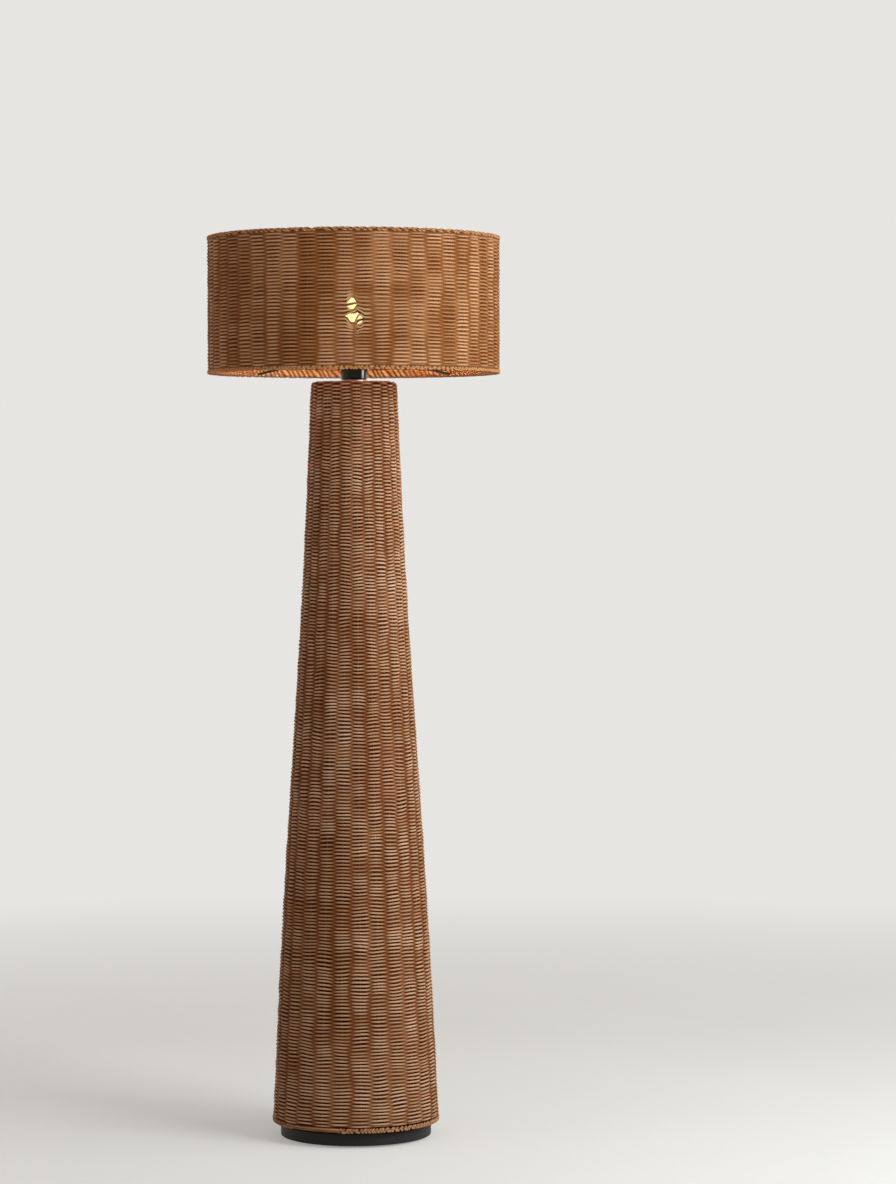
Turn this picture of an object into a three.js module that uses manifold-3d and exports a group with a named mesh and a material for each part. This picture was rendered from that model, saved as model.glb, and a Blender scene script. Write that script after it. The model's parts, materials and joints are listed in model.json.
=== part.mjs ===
// Rattan floor lamp: a weighted black disc carries a tall woven column that tapers to the top, and a
// lamp holder above it carries a woven drum shade and a screw-in bulb.
// Millimetres, +Z up. The origin is the middle of the footprint, on the floor. The front looks along -Y.
import * as THREE from "three";
import { mergeVertices } from "three/addons/utils/BufferGeometryUtils.js";
import Module from "manifold-3d";

const wasm = await Module();
wasm.setup();

// Driving dimensions

// Clearance left between pieces that touch, screw together or turn on each other
const fitGap = 0.3;
// How far a cutting solid runs past the face that it cuts
const overrun = 2;

// Base
const baseRadius = 128.5;
const coverHeight = 22;
const coverWall = 2;
const coverEdgeRadius = 4;
const bottomPlateThickness = 2;
const footHeight = 3;
const footRadius = 11;
const footInset = 24;
const nutRecessRadius = 18;
const nutRecessDepth = 11;
const bushBoreRadius = 3.5;
const bushBarrelRadius = 5.5;
const bushFlangeRadius = 8.5;
const bushFlangeThickness = 2;
const bushReach = 9;

// Threaded nipples, stem, nuts and washers
const nippleRadius = 4.9;
const nippleBoreRadius = 3.5;
const nippleGrip = 40;
const nippleEnd = 0.8;
const stemRadius = 8;
const nutRadius = 9.8;
const nutThickness = 6;
const washerRadius = 14;
const washerThickness = 1.6;
const topWasherRadius = 19;

// Strands of the weave. They cross halfway between two upright stakes, where a woven wall is drawn in.
const strandRadius = 1.8;

// Woven column and the steel frame inside it
const columnLift = 0.5;
const columnHeight = 1265;
const columnOverhang = 15;
const columnTopRadius = 75;
const columnSwingShare = 0.035;
const columnSagShare = 0.012;
const columnEdgeRadius = 8;
const columnWall = 9;
const columnBorderHeight = 10;
const columnStakes = 26;
const columnFirstStake = (-86.5 * Math.PI) / 180;
const capRadius = 58;
const bottomWireRadius = 4;
const topWireRadius = 3;
const hoopWireRadius = 2;
const rodRadius = 2.5;
const footBarWidth = 20;
const footBarThickness = 4;
const topBarWidth = 14;
const topBarThickness = 3;
const hoopShares = [0.34, 0.67];

// Lamp holder
const holderRadius = 22.5;
const holderWall = 3;
const holderEdgeRadius = 2;
const holderRecessRadius = 12;
const holderRecessDepth = 8;
const holderFloor = 4;
const flangeHeight = 14.7;
const spigotLength = 5;
const spigotWall = 2;
const skirtRadius = 19.9;
const skirtHeight = 25.3;
const insertDepth = 9.7;
const insertThickness = 16;
const bossHeight = 4;
const shellRadius = 14;
const shellWall = 0.6;
const shellHeight = 26;
const contactRise = 2;
const contactWidth = 6;
const contactLength = 16;
const contactThickness = 0.6;
const terminalOffset = 8;
const terminalHeadRadius = 3.2;
const terminalHeadHeight = 2.5;
const terminalShankRadius = 1.5;
const terminalShankLength = 8;

// Rotary switch
const shaftRadius = 2;
const shaftSocketDepth = 6;
const shaftDrop = 22.7;
const knobStandOff = 1;
const knobHubRadius = 4.5;
const knobHubLength = 8;
const knobBladeLength = 9;
const knobBladeWidth = 13;
const knobBladeThickness = 3.2;

// Bulb
const bulbRadius = 30;
const bulbLength = 108.7;
const bulbNeckLength = 12;
const bulbWall = 1;
const bulbCapHeight = 19.5;
const bulbCapWall = 0.8;
const bulbInsulatorHeight = 5;
const bulbTipRadius = 5;
const bulbTipHeight = 2;
const bulbMountDiscThickness = 1.5;
const bulbMountRadius = 2.5;
const bulbMountHeight = 46;
const filamentWireRadius = 0.8;
const filamentSpread = 10;
const filamentHeight = 30;
const filamentHubRadius = 2;

// Shade and its wire frame
const shadeRadius = 250;
const shadeHeight = 234.5;
const shadeGap = 11;
const shadeWall = 8;
const shadeBorderHeight = 8;
const shadeBorderEdgeRadius = 2.4;
const shadeStakes = 50;
const shadeFirstStake = (-86.4 * Math.PI) / 180;
const shadeWireRadius = 2.5;
const strutRadius = 1.5;
const armRadius = 2;
const fitterRise = 34;
const fitterRadius = 30;
const fitterThickness = 2.5;
const fitterBoreGap = 0.6;
const clampRingRadius = 28;
const clampRingHeight = 10;

// Counts
const roundSides = 40;
const innerSides = 20;
const smallSides = 12;
const ringSides = 8;
const wireSides = 6;
const rodSteps = 10;
const profileSteps = 10;
const filamentSteps = 6;
const edgeSteps = 3;
const bulbSteps = 6;
const crossCount = 4;
const fluteSteps = 4;

// Finishes: colour, roughness and metalness
const blackPaint = { color: 0x16130f, roughness: 0.45, metalness: 0.2 };
const blackResin = { color: 0x0d0b0a, roughness: 0.16, metalness: 0 };
const castIron = { color: 0x3a3836, roughness: 0.8, metalness: 0.6 };
const plainSteel = { color: 0x8c8d8f, roughness: 0.4, metalness: 0.9 };
const blackRubber = { color: 0x141414, roughness: 0.85, metalness: 0 };
const brass = { color: 0xb08d48, roughness: 0.35, metalness: 1 };
const nickel = { color: 0xbab6ad, roughness: 0.25, metalness: 1 };
const darkRattan = { color: 0x8a5f3c, roughness: 0.6, metalness: 0 };
const lightRattan = { color: 0xa9794b, roughness: 0.6, metalness: 0 };
const porcelain = { color: 0xe9e5da, roughness: 0.3, metalness: 0 };
const warmGlass = { color: 0xffe2b0, roughness: 0.1, metalness: 0 };
const glowing = { color: 0xffb84d, roughness: 0.5, metalness: 0 };

// Levels, from the floor up

const coverTop = footHeight + coverHeight;
const weightBottom = footHeight + bottomPlateThickness;
const weightTop = coverTop - coverWall;
const recessTop = weightBottom + nutRecessDepth;
const footBarTop = coverTop + 2 * footBarThickness;
const columnBottom = coverTop + columnLift;
const columnTop = columnBottom + columnHeight;
const lipUnderside = columnTop - columnWall;
const topBarTop = lipUnderside - fitGap;
const stemTop = topBarTop - 2 * topBarThickness;
const holderBottom = columnTop + washerThickness;
const shadeBottom = columnTop + shadeGap;
const shadeTop = shadeBottom + shadeHeight;
const fitterBottom = shadeBottom + fitterRise;
const fitterTop = fitterBottom + fitterThickness;
const shoulder = fitterBottom - fitGap;
const domeTop = shoulder - flangeHeight;
const insertTop = shoulder - insertDepth;
const insertBottom = insertTop - insertThickness;
const bossTop = insertTop + bossHeight;
const shaftLevel = shoulder - shaftDrop;
const bulbBottom = bossTop + contactRise + fitGap;
const globeCentre = bulbBottom + bulbLength - bulbRadius;

// Radii that follow from what a piece fits in or round

const nippleSeat = nippleRadius + fitGap;
const weightRadius = baseRadius - coverWall - fitGap;
const columnBottomRadius = baseRadius + columnOverhang;
const grooveHalfWidth = bushBarrelRadius + fitGap;
const domeBore = holderRadius - holderWall;
const spigotRadius = domeBore - fitGap;
const insertBore = spigotRadius - spigotWall;
const insertRadius = insertBore - fitGap;
const skirtBore = shellRadius + fitGap;
const bulbCapRadius = shellRadius - shellWall - fitGap;
const bulbNeckRadius = bulbCapRadius - bulbCapWall - fitGap;
const fitterBore = skirtRadius + fitterBoreGap;
const shadeInnerRadius = shadeRadius - shadeWall;
const shadeWireCentre = shadeInnerRadius - fitGap - shadeWireRadius;

// Radius of the column's woven outside at a height above the floor: a straight taper from the top
// radius to the bottom radius, made gently S-shaped by one full sine wave and one half sine wave.
function columnRadius(z) {
  const down = (columnTop - z) / columnHeight;
  const swing = columnSwingShare * Math.sin(2 * Math.PI * down);
  const sag = columnSagShare * Math.sin(Math.PI * down);
  return columnTopRadius + (columnBottomRadius - columnTopRadius) * (down - swing - sag);
}

const columnBore = (z) => columnRadius(z) - columnWall;
const rodCentre = (z) => columnBore(z) - fitGap - rodRadius;
const bottomWireLevel = columnBottom + bottomWireRadius;
const bottomWireCentre = columnBore(columnBottom) - fitGap - bottomWireRadius;
const topWireLevel = lipUnderside - fitGap - topWireRadius;
const topWireCentre = columnBore(columnTop) - fitGap - topWireRadius;

// Shapes

// Solid of revolution about Z from a closed profile of [radius, height] points. A profile that starts
// and ends on the axis is left open there.
function turned(profile, sides = innerSides) {
  const points = profile.map(([r, z]) => new THREE.Vector2(r, z));
  if (THREE.ShapeUtils.isClockWise(points)) points.reverse();
  const onAxis = points.filter((p) => p.x === 0).length > 1;
  if (!onAxis) {
    points.push(points[0].clone());
  } else {
    while (points[0].x !== 0 || points.at(-1).x !== 0) points.push(points.shift());
  }
  return new THREE.LatheGeometry(points, sides).rotateX(Math.PI / 2);
}

// Ring with a rectangular section, as a tube, a washer or a sleeve.
function sleeve(inner, outer, bottom, top, sides) {
  return turned([[inner, bottom], [outer, bottom], [outer, top], [inner, top]], sides);
}

// How far the outside of a woven wall is drawn in where two strands cross in its middle
const fluteDepth = (wall) => wall / 2 - strandRadius - fitGap;

// Woven wall: a ring-shaped solid whose outside stands out as a rib at each upright stake. The profile runs
// up the outside and down the inside, in points [radius, height, share]. Halfway between two stakes a radius
// is less by its share of the flute's depth.
function wovenWall(profile, stakes, firstStake, wall) {
  const sides = stakes * fluteSteps;
  const points = [];
  const faces = [];
  for (let i = 0; i < sides; i += 1) {
    const angle = firstStake + (i * 2 * Math.PI) / sides;
    const dip = (fluteDepth(wall) * (1 - Math.cos((i * 2 * Math.PI) / fluteSteps))) / 2;
    const here = i * profile.length;
    const beside = ((i + 1) % sides) * profile.length;
    profile.forEach(([radius, z, share], j) => {
      const r = radius - share * dip;
      points.push(r * Math.cos(angle), r * Math.sin(angle), z);
      const after = (j + 1) % profile.length;
      faces.push(here + j, beside + j, beside + after, here + j, beside + after, here + after);
    });
  }
  return new THREE.BufferGeometry()
    .setAttribute("position", new THREE.Float32BufferAttribute(points, 3))
    .setIndex(faces);
}

function rod(radius, bottom, top, sides = smallSides) {
  return turned([[0, bottom], [radius, bottom], [radius, top], [0, top]], sides);
}

// Points on an arc from one angle to another, the first and the last included.
function arc(centreR, centreZ, radius, from, to, steps) {
  return Array.from({ length: steps + 1 }, (_, i) => {
    const angle = from + ((to - from) * i) / steps;
    return [centreR + radius * Math.cos(angle), centreZ + radius * Math.sin(angle)];
  });
}

// Wire bent into a ring round the Z axis.
function wireRing(centreR, centreZ, radius, sides) {
  const section = arc(centreR, centreZ, radius, 0, 2 * Math.PI, ringSides);
  return turned(section.slice(0, -1), sides);
}

function polygon(radius, sides) {
  const corners = arc(0, 0, radius, 0, 2 * Math.PI, sides).slice(0, -1);
  return new THREE.Shape(corners.map(([x, y]) => new THREE.Vector2(x, y)));
}

// Round wire along a curve.
function wire(curve, radius, steps) {
  return new THREE.ExtrudeGeometry(polygon(radius, wireSides), {
    extrudePath: curve,
    steps,
    bevelEnabled: false,
  });
}

function plate(shape, bottom, thickness) {
  const options = { depth: thickness, bevelEnabled: false, curveSegments: smallSides };
  return new THREE.ExtrudeGeometry(shape, options).translate(0, 0, bottom);
}

function nut(bottom, thickness) {
  const shape = polygon(nutRadius, 6);
  shape.holes.push(polygon(nippleSeat, smallSides));
  return plate(shape, bottom, thickness);
}

// Flat bar across the middle with a hole for the nipple.
function crossBar(length, width, bottom, thickness, turn) {
  const shape = new THREE.Shape();
  shape.moveTo(-length / 2, -width / 2);
  shape.lineTo(length / 2, -width / 2);
  shape.lineTo(length / 2, width / 2);
  shape.lineTo(-length / 2, width / 2);
  shape.holes.push(polygon(nippleSeat, smallSides));
  return plate(shape, bottom, thickness).rotateZ(turn);
}

// Booleans

function solidOf(geometry) {
  const plain = geometry.index ? geometry.toNonIndexed() : geometry.clone();
  plain.deleteAttribute("normal");
  plain.deleteAttribute("uv");
  const merged = mergeVertices(plain, 1e-4);
  return new wasm.Manifold(
    new wasm.Mesh({
      numProp: 3,
      vertProperties: merged.attributes.position.array,
      triVerts: new Uint32Array(merged.index.array),
    }),
  );
}

function geometryOf(solid) {
  const mesh = solid.getMesh();
  return new THREE.BufferGeometry()
    .setAttribute("position", new THREE.BufferAttribute(mesh.vertProperties, 3))
    .setIndex(new THREE.BufferAttribute(mesh.triVerts, 1));
}

const cut = (geometry, ...tools) =>
  geometryOf(tools.reduce((solid, tool) => solid.subtract(solidOf(tool)), solidOf(geometry)));

const join = (geometry, ...others) =>
  geometryOf(others.reduce((solid, other) => solid.add(solidOf(other)), solidOf(geometry)));

// Scene graph

const lamp = new THREE.Group();
const base = new THREE.Group();
const column = new THREE.Group();
const holder = new THREE.Group();
const bulb = new THREE.Group();
const shade = new THREE.Group();
lamp.add(base, column, holder, bulb, shade);

function add(group, name, geometry, finish) {
  geometry.computeVertexNormals();
  const mesh = new THREE.Mesh(geometry, new THREE.MeshStandardMaterial(finish));
  mesh.name = name;
  group.add(mesh);
  return mesh;
}

// Angles of the pieces that sit in a cross, the first at the given one
const crossAngles = (first) =>
  Array.from({ length: crossCount }, (_, i) => first + (i * 2 * Math.PI) / crossCount);

// Base: pressed cover, cast weight, bottom plate, feet and the bush where a cord leaves

const bushLevel = footHeight + coverHeight / 2;
const toTheBack = (geometry, level) => geometry.rotateX(-Math.PI / 2).translate(0, 0, level);

function addBase() {
  const inside = baseRadius - coverWall;
  const bend = coverEdgeRadius + coverWall;
  const cover = turned(
    [
      [nippleSeat, weightTop],
      [inside, weightTop],
      [inside, footHeight],
      [baseRadius, footHeight],
      ...arc(baseRadius - bend, coverTop - bend, bend, 0, Math.PI / 2, edgeSteps),
      [nippleSeat, coverTop],
    ],
    roundSides,
  );
  const bushHole = rod(bushBarrelRadius + fitGap, inside - overrun, baseRadius + overrun);
  add(base, "base_cover", cut(cover, toTheBack(bushHole, bushLevel)), blackPaint);

  const weight = turned(
    [
      [nippleSeat, recessTop],
      [nutRecessRadius, recessTop],
      [nutRecessRadius, weightBottom],
      [weightRadius, weightBottom],
      [weightRadius, weightTop - coverEdgeRadius],
      [weightRadius - coverEdgeRadius, weightTop],
      [nippleSeat, weightTop],
    ],
    roundSides,
  );
  const grooveTop = bushLevel + grooveHalfWidth;
  const groove = new THREE.BoxGeometry(
    2 * grooveHalfWidth,
    weightRadius + overrun,
    grooveTop - weightBottom + overrun,
  ).translate(0, (weightRadius + overrun) / 2, (grooveTop + weightBottom - overrun) / 2);
  add(base, "base_weight", cut(weight, groove), castIron);

  const underside = rod(weightRadius, footHeight, weightBottom, roundSides);
  add(base, "base_bottom_plate", underside, blackPaint);

  const footCentre = baseRadius - footInset;
  crossAngles(Math.PI / 4).forEach((angle, i) => {
    const foot = add(base, `foot_${i + 1}`, rod(footRadius, 0, footHeight), blackRubber);
    foot.position.set(footCentre * Math.cos(angle), footCentre * Math.sin(angle), 0);
  });

  const bush = turned(
    [
      [bushBoreRadius, baseRadius + fitGap + bushFlangeThickness - bushReach],
      [bushBarrelRadius, baseRadius + fitGap + bushFlangeThickness - bushReach],
      [bushBarrelRadius, baseRadius + fitGap],
      [bushFlangeRadius, baseRadius + fitGap],
      [bushFlangeRadius, baseRadius + fitGap + bushFlangeThickness],
      [bushBoreRadius, baseRadius + fitGap + bushFlangeThickness],
    ],
    smallSides,
  );
  add(base, "cord_bush", toTheBack(bush, bushLevel), blackRubber);

  const washerBottom = recessTop - washerThickness;
  const washer = sleeve(nippleSeat, washerRadius, washerBottom, recessTop, innerSides);
  add(base, "base_washer", washer, plainSteel);
  add(base, "base_nut", nut(washerBottom - nutThickness, nutThickness), plainSteel);
}

// Stem: a steel tube with a threaded nipple screwed into each end

function addStem() {
  add(base, "stem_tube", sleeve(nippleSeat, stemRadius, footBarTop, stemTop), blackPaint);
  const lowEnd = recessTop - washerThickness - nutThickness - nippleEnd;
  const lowNipple = sleeve(nippleBoreRadius, nippleRadius, lowEnd, footBarTop + nippleGrip);
  add(base, "nipple_bottom", lowNipple, plainSteel);
  const highEnd = holderBottom + holderRecessDepth + holderFloor + nippleEnd;
  const highNipple = sleeve(nippleBoreRadius, nippleRadius, stemTop - nippleGrip, highEnd);
  add(base, "nipple_top", highNipple, plainSteel);
}

// Column: steel wire frame, woven skin, plaited border and woven cap

// Length of a flat bar of the given width that just fits inside a ring of the given inner radius
function lengthInside(ringRadius, width) {
  const flatRadius = ringRadius * Math.cos(Math.PI / innerSides);
  return 2 * (Math.sqrt(flatRadius ** 2 - (width / 2) ** 2) - fitGap);
}

function addColumn() {
  const footBarLength = lengthInside(bottomWireCentre - bottomWireRadius, footBarWidth);
  const topBarLength = lengthInside(topWireCentre - topWireRadius, topBarWidth);
  [0, 1].forEach((i) => {
    const turn = (i * Math.PI) / 2;
    const footBar = crossBar(
      footBarLength, footBarWidth, coverTop + i * footBarThickness, footBarThickness, turn,
    );
    const topBar = crossBar(
      topBarLength, topBarWidth, stemTop + i * topBarThickness, topBarThickness, turn,
    );
    add(column, `frame_foot_bar_${i + 1}`, footBar, blackPaint);
    add(column, `frame_top_bar_${i + 1}`, topBar, blackPaint);
  });

  const bottomRing = wireRing(bottomWireCentre, bottomWireLevel, bottomWireRadius, innerSides);
  add(column, "frame_ring_bottom", bottomRing, blackPaint);
  const topRing = wireRing(topWireCentre, topWireLevel, topWireRadius, innerSides);
  add(column, "frame_ring_top", topRing, blackPaint);
  hoopShares.forEach((share, i) => {
    const level = columnBottom + share * columnHeight;
    const centre = rodCentre(level) - rodRadius - fitGap - hoopWireRadius;
    add(column, `frame_hoop_${i + 1}`, wireRing(centre, level, hoopWireRadius, innerSides), blackPaint);
  });

  const rodBottom = bottomWireLevel + bottomWireRadius + fitGap;
  const rodTop = topWireLevel - topWireRadius - fitGap;
  crossAngles(0).forEach((angle, i) => {
    const points = Array.from({ length: rodSteps + 1 }, (_, step) => {
      const z = rodBottom + ((rodTop - rodBottom) * step) / rodSteps;
      return new THREE.Vector3(rodCentre(z), 0, z);
    });
    const line = wire(new THREE.CatmullRomCurve3(points), rodRadius, rodSteps);
    add(column, `frame_rod_${i + 1}`, line.rotateZ(angle), blackPaint);
  });

  const weaveBottom = columnBottom + columnBorderHeight + fitGap;
  const edgeLevel = columnTop - columnEdgeRadius;
  const edgeCentre = columnRadius(edgeLevel) - columnEdgeRadius;
  const levels = Array.from(
    { length: profileSteps + 1 },
    (_, i) => weaveBottom + ((edgeLevel - weaveBottom) * i) / profileSteps,
  );
  const edge = arc(edgeCentre, edgeLevel, columnEdgeRadius, 0, Math.PI / 2, edgeSteps);
  const weave = wovenWall(
    [
      ...levels.map((z) => [columnRadius(z), z, 1]),
      ...edge.map(([r, z], i) => [r, z, 1 - i / edgeSteps]).slice(1),
      [capRadius + fitGap, columnTop, 0],
      [capRadius + fitGap, lipUnderside, 0],
      [columnBore(lipUnderside), lipUnderside, 0],
      ...levels.slice(0, -1).reverse().map((z) => [columnBore(z), z, 0]),
    ],
    columnStakes,
    columnFirstStake,
    columnWall,
  );
  add(column, "column_weave", weave, darkRattan);

  const borderTop = columnBottom + columnBorderHeight;
  const borderBend = columnWall / 2;
  const borderMiddle = columnRadius(columnBottom) - borderBend;
  const border = turned(
    [
      ...arc(borderMiddle, columnBottom + borderBend, borderBend, -Math.PI, 0, edgeSteps + 1),
      [columnRadius(borderTop), borderTop],
      [columnBore(borderTop), borderTop],
    ],
    roundSides,
  );
  add(column, "column_border", border, darkRattan);
  add(column, "column_cap", sleeve(nippleSeat, capRadius, topBarTop, columnTop, roundSides), darkRattan);
}

// Lamp holder: dome, skirt, insulating insert and contacts

function addHolder() {
  const washer = sleeve(nippleSeat, topWasherRadius, columnTop, holderBottom, innerSides);
  add(holder, "top_washer", washer, plainSteel);
  add(holder, "top_nut", nut(holderBottom, nutThickness), plainSteel);

  const recessCeiling = holderBottom + holderRecessDepth;
  const dome = turned(
    [
      [holderRecessRadius, holderBottom],
      ...arc(
        holderRadius - holderEdgeRadius, holderBottom + holderEdgeRadius, holderEdgeRadius,
        -Math.PI / 2, 0, edgeSteps,
      ),
      [holderRadius, domeTop],
      [domeBore, domeTop],
      [domeBore, recessCeiling + holderFloor],
      [nippleSeat, recessCeiling + holderFloor],
      [nippleSeat, recessCeiling],
      [holderRecessRadius, recessCeiling],
    ],
    innerSides,
  );
  const shaftHole = rod(shaftRadius + fitGap, domeBore - overrun, holderRadius + overrun);
  add(holder, "holder_dome", cut(dome, toTheBack(shaftHole, shaftLevel)), blackResin);

  const skirt = turned(
    [
      [insertBore, domeTop - spigotLength],
      [spigotRadius, domeTop - spigotLength],
      [spigotRadius, domeTop],
      [holderRadius, domeTop],
      [holderRadius, shoulder],
      [skirtRadius, shoulder],
      [skirtRadius, shoulder + skirtHeight],
      [skirtBore, shoulder + skirtHeight],
      [skirtBore, insertTop],
      [insertBore, insertTop],
    ],
    innerSides,
  );
  add(holder, "holder_skirt", skirt, blackResin);

  const insert = turned(
    [
      [0, insertBottom],
      [insertRadius, insertBottom],
      [insertRadius, insertTop],
      [shellRadius, insertTop],
      [shellRadius, bossTop],
      [0, bossTop],
    ],
    innerSides,
  );
  const shaftSocket = rod(
    shaftRadius + fitGap, insertRadius - shaftSocketDepth - fitGap, insertRadius + overrun,
  );
  const screwHoles = [-1, 1].map((side) =>
    rod(
      terminalShankRadius + fitGap,
      insertBottom - overrun,
      insertBottom + terminalShankLength + fitGap,
    ).translate(side * terminalOffset, 0, 0),
  );
  const insertBody = cut(insert, toTheBack(shaftSocket, shaftLevel), ...screwHoles);
  add(holder, "holder_insert", insertBody, porcelain);

  const shell = sleeve(shellRadius - shellWall, shellRadius, bossTop, bossTop + shellHeight);
  add(holder, "screw_shell", shell, brass);

  const outer = arc(0, 0, 1, Math.PI, 0, wireSides).map(
    ([x, y]) => new THREE.Vector2((x * contactLength) / 2, y * contactRise),
  );
  const inner = arc(0, 0, 1, 0, Math.PI, wireSides).map(
    ([x, y]) =>
      new THREE.Vector2(x * (contactLength / 2 - contactThickness), y * (contactRise - contactThickness)),
  );
  const contact = plate(new THREE.Shape([...outer, ...inner]), -contactWidth / 2, contactWidth);
  contact.rotateX(Math.PI / 2).translate(0, 0, bossTop);
  add(holder, "centre_contact", contact, brass);

  [-1, 1].forEach((side, i) => {
    const screw = turned(
      [
        [0, insertBottom - terminalHeadHeight],
        [terminalHeadRadius, insertBottom - terminalHeadHeight],
        [terminalHeadRadius, insertBottom],
        [terminalShankRadius, insertBottom],
        [terminalShankRadius, insertBottom + terminalShankLength],
        [0, insertBottom + terminalShankLength],
      ],
      smallSides,
    );
    const mesh = add(holder, `terminal_screw_${i + 1}`, screw, brass);
    mesh.position.x = side * terminalOffset;
  });
}

// Rotary switch: a shaft in the insert, through the dome, with a bladed knob behind the holder

function addSwitch() {
  const hubStart = holderRadius + knobStandOff;
  const hubEnd = hubStart + knobHubLength;
  const shaftEnd = hubEnd - shaftRadius;
  const shaft = rod(shaftRadius, insertRadius - shaftSocketDepth, shaftEnd);
  add(holder, "switch_shaft", toTheBack(shaft, shaftLevel), brass);

  const hub = turned(
    [
      [shaftRadius + fitGap, hubStart],
      [knobHubRadius, hubStart],
      [knobHubRadius, hubEnd],
      [0, hubEnd],
      [0, shaftEnd + fitGap],
      [shaftRadius + fitGap, shaftEnd + fitGap],
    ],
    smallSides,
  );
  const bladeShape = new THREE.Shape();
  const corner = knobBladeWidth / 2;
  bladeShape.moveTo(-knobHubRadius, 0);
  bladeShape.lineTo(-corner, knobBladeLength - corner);
  bladeShape.absarc(0, knobBladeLength - corner, corner, Math.PI, 0, true);
  bladeShape.lineTo(knobHubRadius, 0);
  const blade = plate(bladeShape, -knobBladeThickness / 2, knobBladeThickness)
    .rotateX(Math.PI / 2)
    .translate(0, 0, hubEnd - (hubEnd - shaftEnd) / 2);
  add(holder, "switch_knob", toTheBack(join(hub, blade), shaftLevel), blackResin);
}

// Bulb: glass, screw cap, insulator, tip contact, glass mount and filament

// Half outline of the glass from the bottom of its neck to its top, drawn in by the given amount.
function glassOutline(drawnIn, neckBottom, neckTop) {
  const neck = bulbNeckRadius - drawnIn;
  const globe = bulbRadius - drawnIn;
  const rise = globeCentre - neckTop;
  const flare = new THREE.CubicBezierCurve(
    new THREE.Vector2(neck, neckTop),
    new THREE.Vector2(neck, neckTop + rise / 2),
    new THREE.Vector2(globe, globeCentre - rise / 2),
    new THREE.Vector2(globe, globeCentre),
  );
  return [
    [neck, neckBottom],
    ...flare.getPoints(bulbSteps).map((p) => [p.x, p.y]),
    ...arc(0, globeCentre, globe, 0, Math.PI / 2, bulbSteps).slice(1, -1),
    [0, globeCentre + globe],
  ];
}

function addBulb() {
  const tipTop = bulbBottom + bulbTipHeight;
  add(bulb, "bulb_tip", rod(bulbTipRadius, bulbBottom, tipTop), brass);
  const capBottom = tipTop + bulbInsulatorHeight;
  const capTop = capBottom + bulbCapHeight;
  const insulator = turned(
    [[0, tipTop], [bulbTipRadius, tipTop], [bulbCapRadius, capBottom], [0, capBottom]],
    innerSides,
  );
  add(bulb, "bulb_insulator", insulator, blackResin);
  add(bulb, "bulb_cap", sleeve(bulbCapRadius - bulbCapWall, bulbCapRadius, capBottom, capTop), nickel);

  const neckBottom = capTop - bulbNeckLength;
  const glass = turned(
    [
      ...glassOutline(0, neckBottom, capTop),
      ...glassOutline(bulbWall, neckBottom, capTop).reverse(),
    ],
    innerSides,
  );
  add(bulb, "bulb_glass", glass, warmGlass);

  const mountTop = neckBottom + bulbMountHeight;
  const mount = turned(
    [
      [0, neckBottom],
      [bulbNeckRadius - bulbWall - fitGap, neckBottom],
      [bulbNeckRadius - bulbWall - fitGap, neckBottom + bulbMountDiscThickness],
      [bulbMountRadius, neckBottom + bulbMountDiscThickness],
      [bulbMountRadius, mountTop],
      [0, mountTop],
    ],
    smallSides,
  );
  add(bulb, "bulb_mount", mount, warmGlass);

  const lowHub = mountTop + fitGap;
  const highHub = lowHub + filamentHeight;
  const hubs = [lowHub, highHub].map((z) => rod(filamentHubRadius, z, z + filamentHubRadius));
  const loops = crossAngles(0).map((angle) => {
    const path = new THREE.CatmullRomCurve3([
      new THREE.Vector3(0, 0, lowHub + filamentHubRadius / 2),
      new THREE.Vector3(filamentSpread, 0, lowHub + filamentHeight / 4),
      new THREE.Vector3(filamentSpread, 0, highHub - filamentHeight / 4),
      new THREE.Vector3(0, 0, highHub + filamentHubRadius / 2),
    ]);
    return wire(path, filamentWireRadius, filamentSteps).rotateZ(angle);
  });
  add(bulb, "bulb_filament", join(hubs[0], ...loops, hubs[1]), glowing);
}

// Shade: wire rings, struts, fitter and arms, woven wall and plaited borders, and its clamp ring

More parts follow.
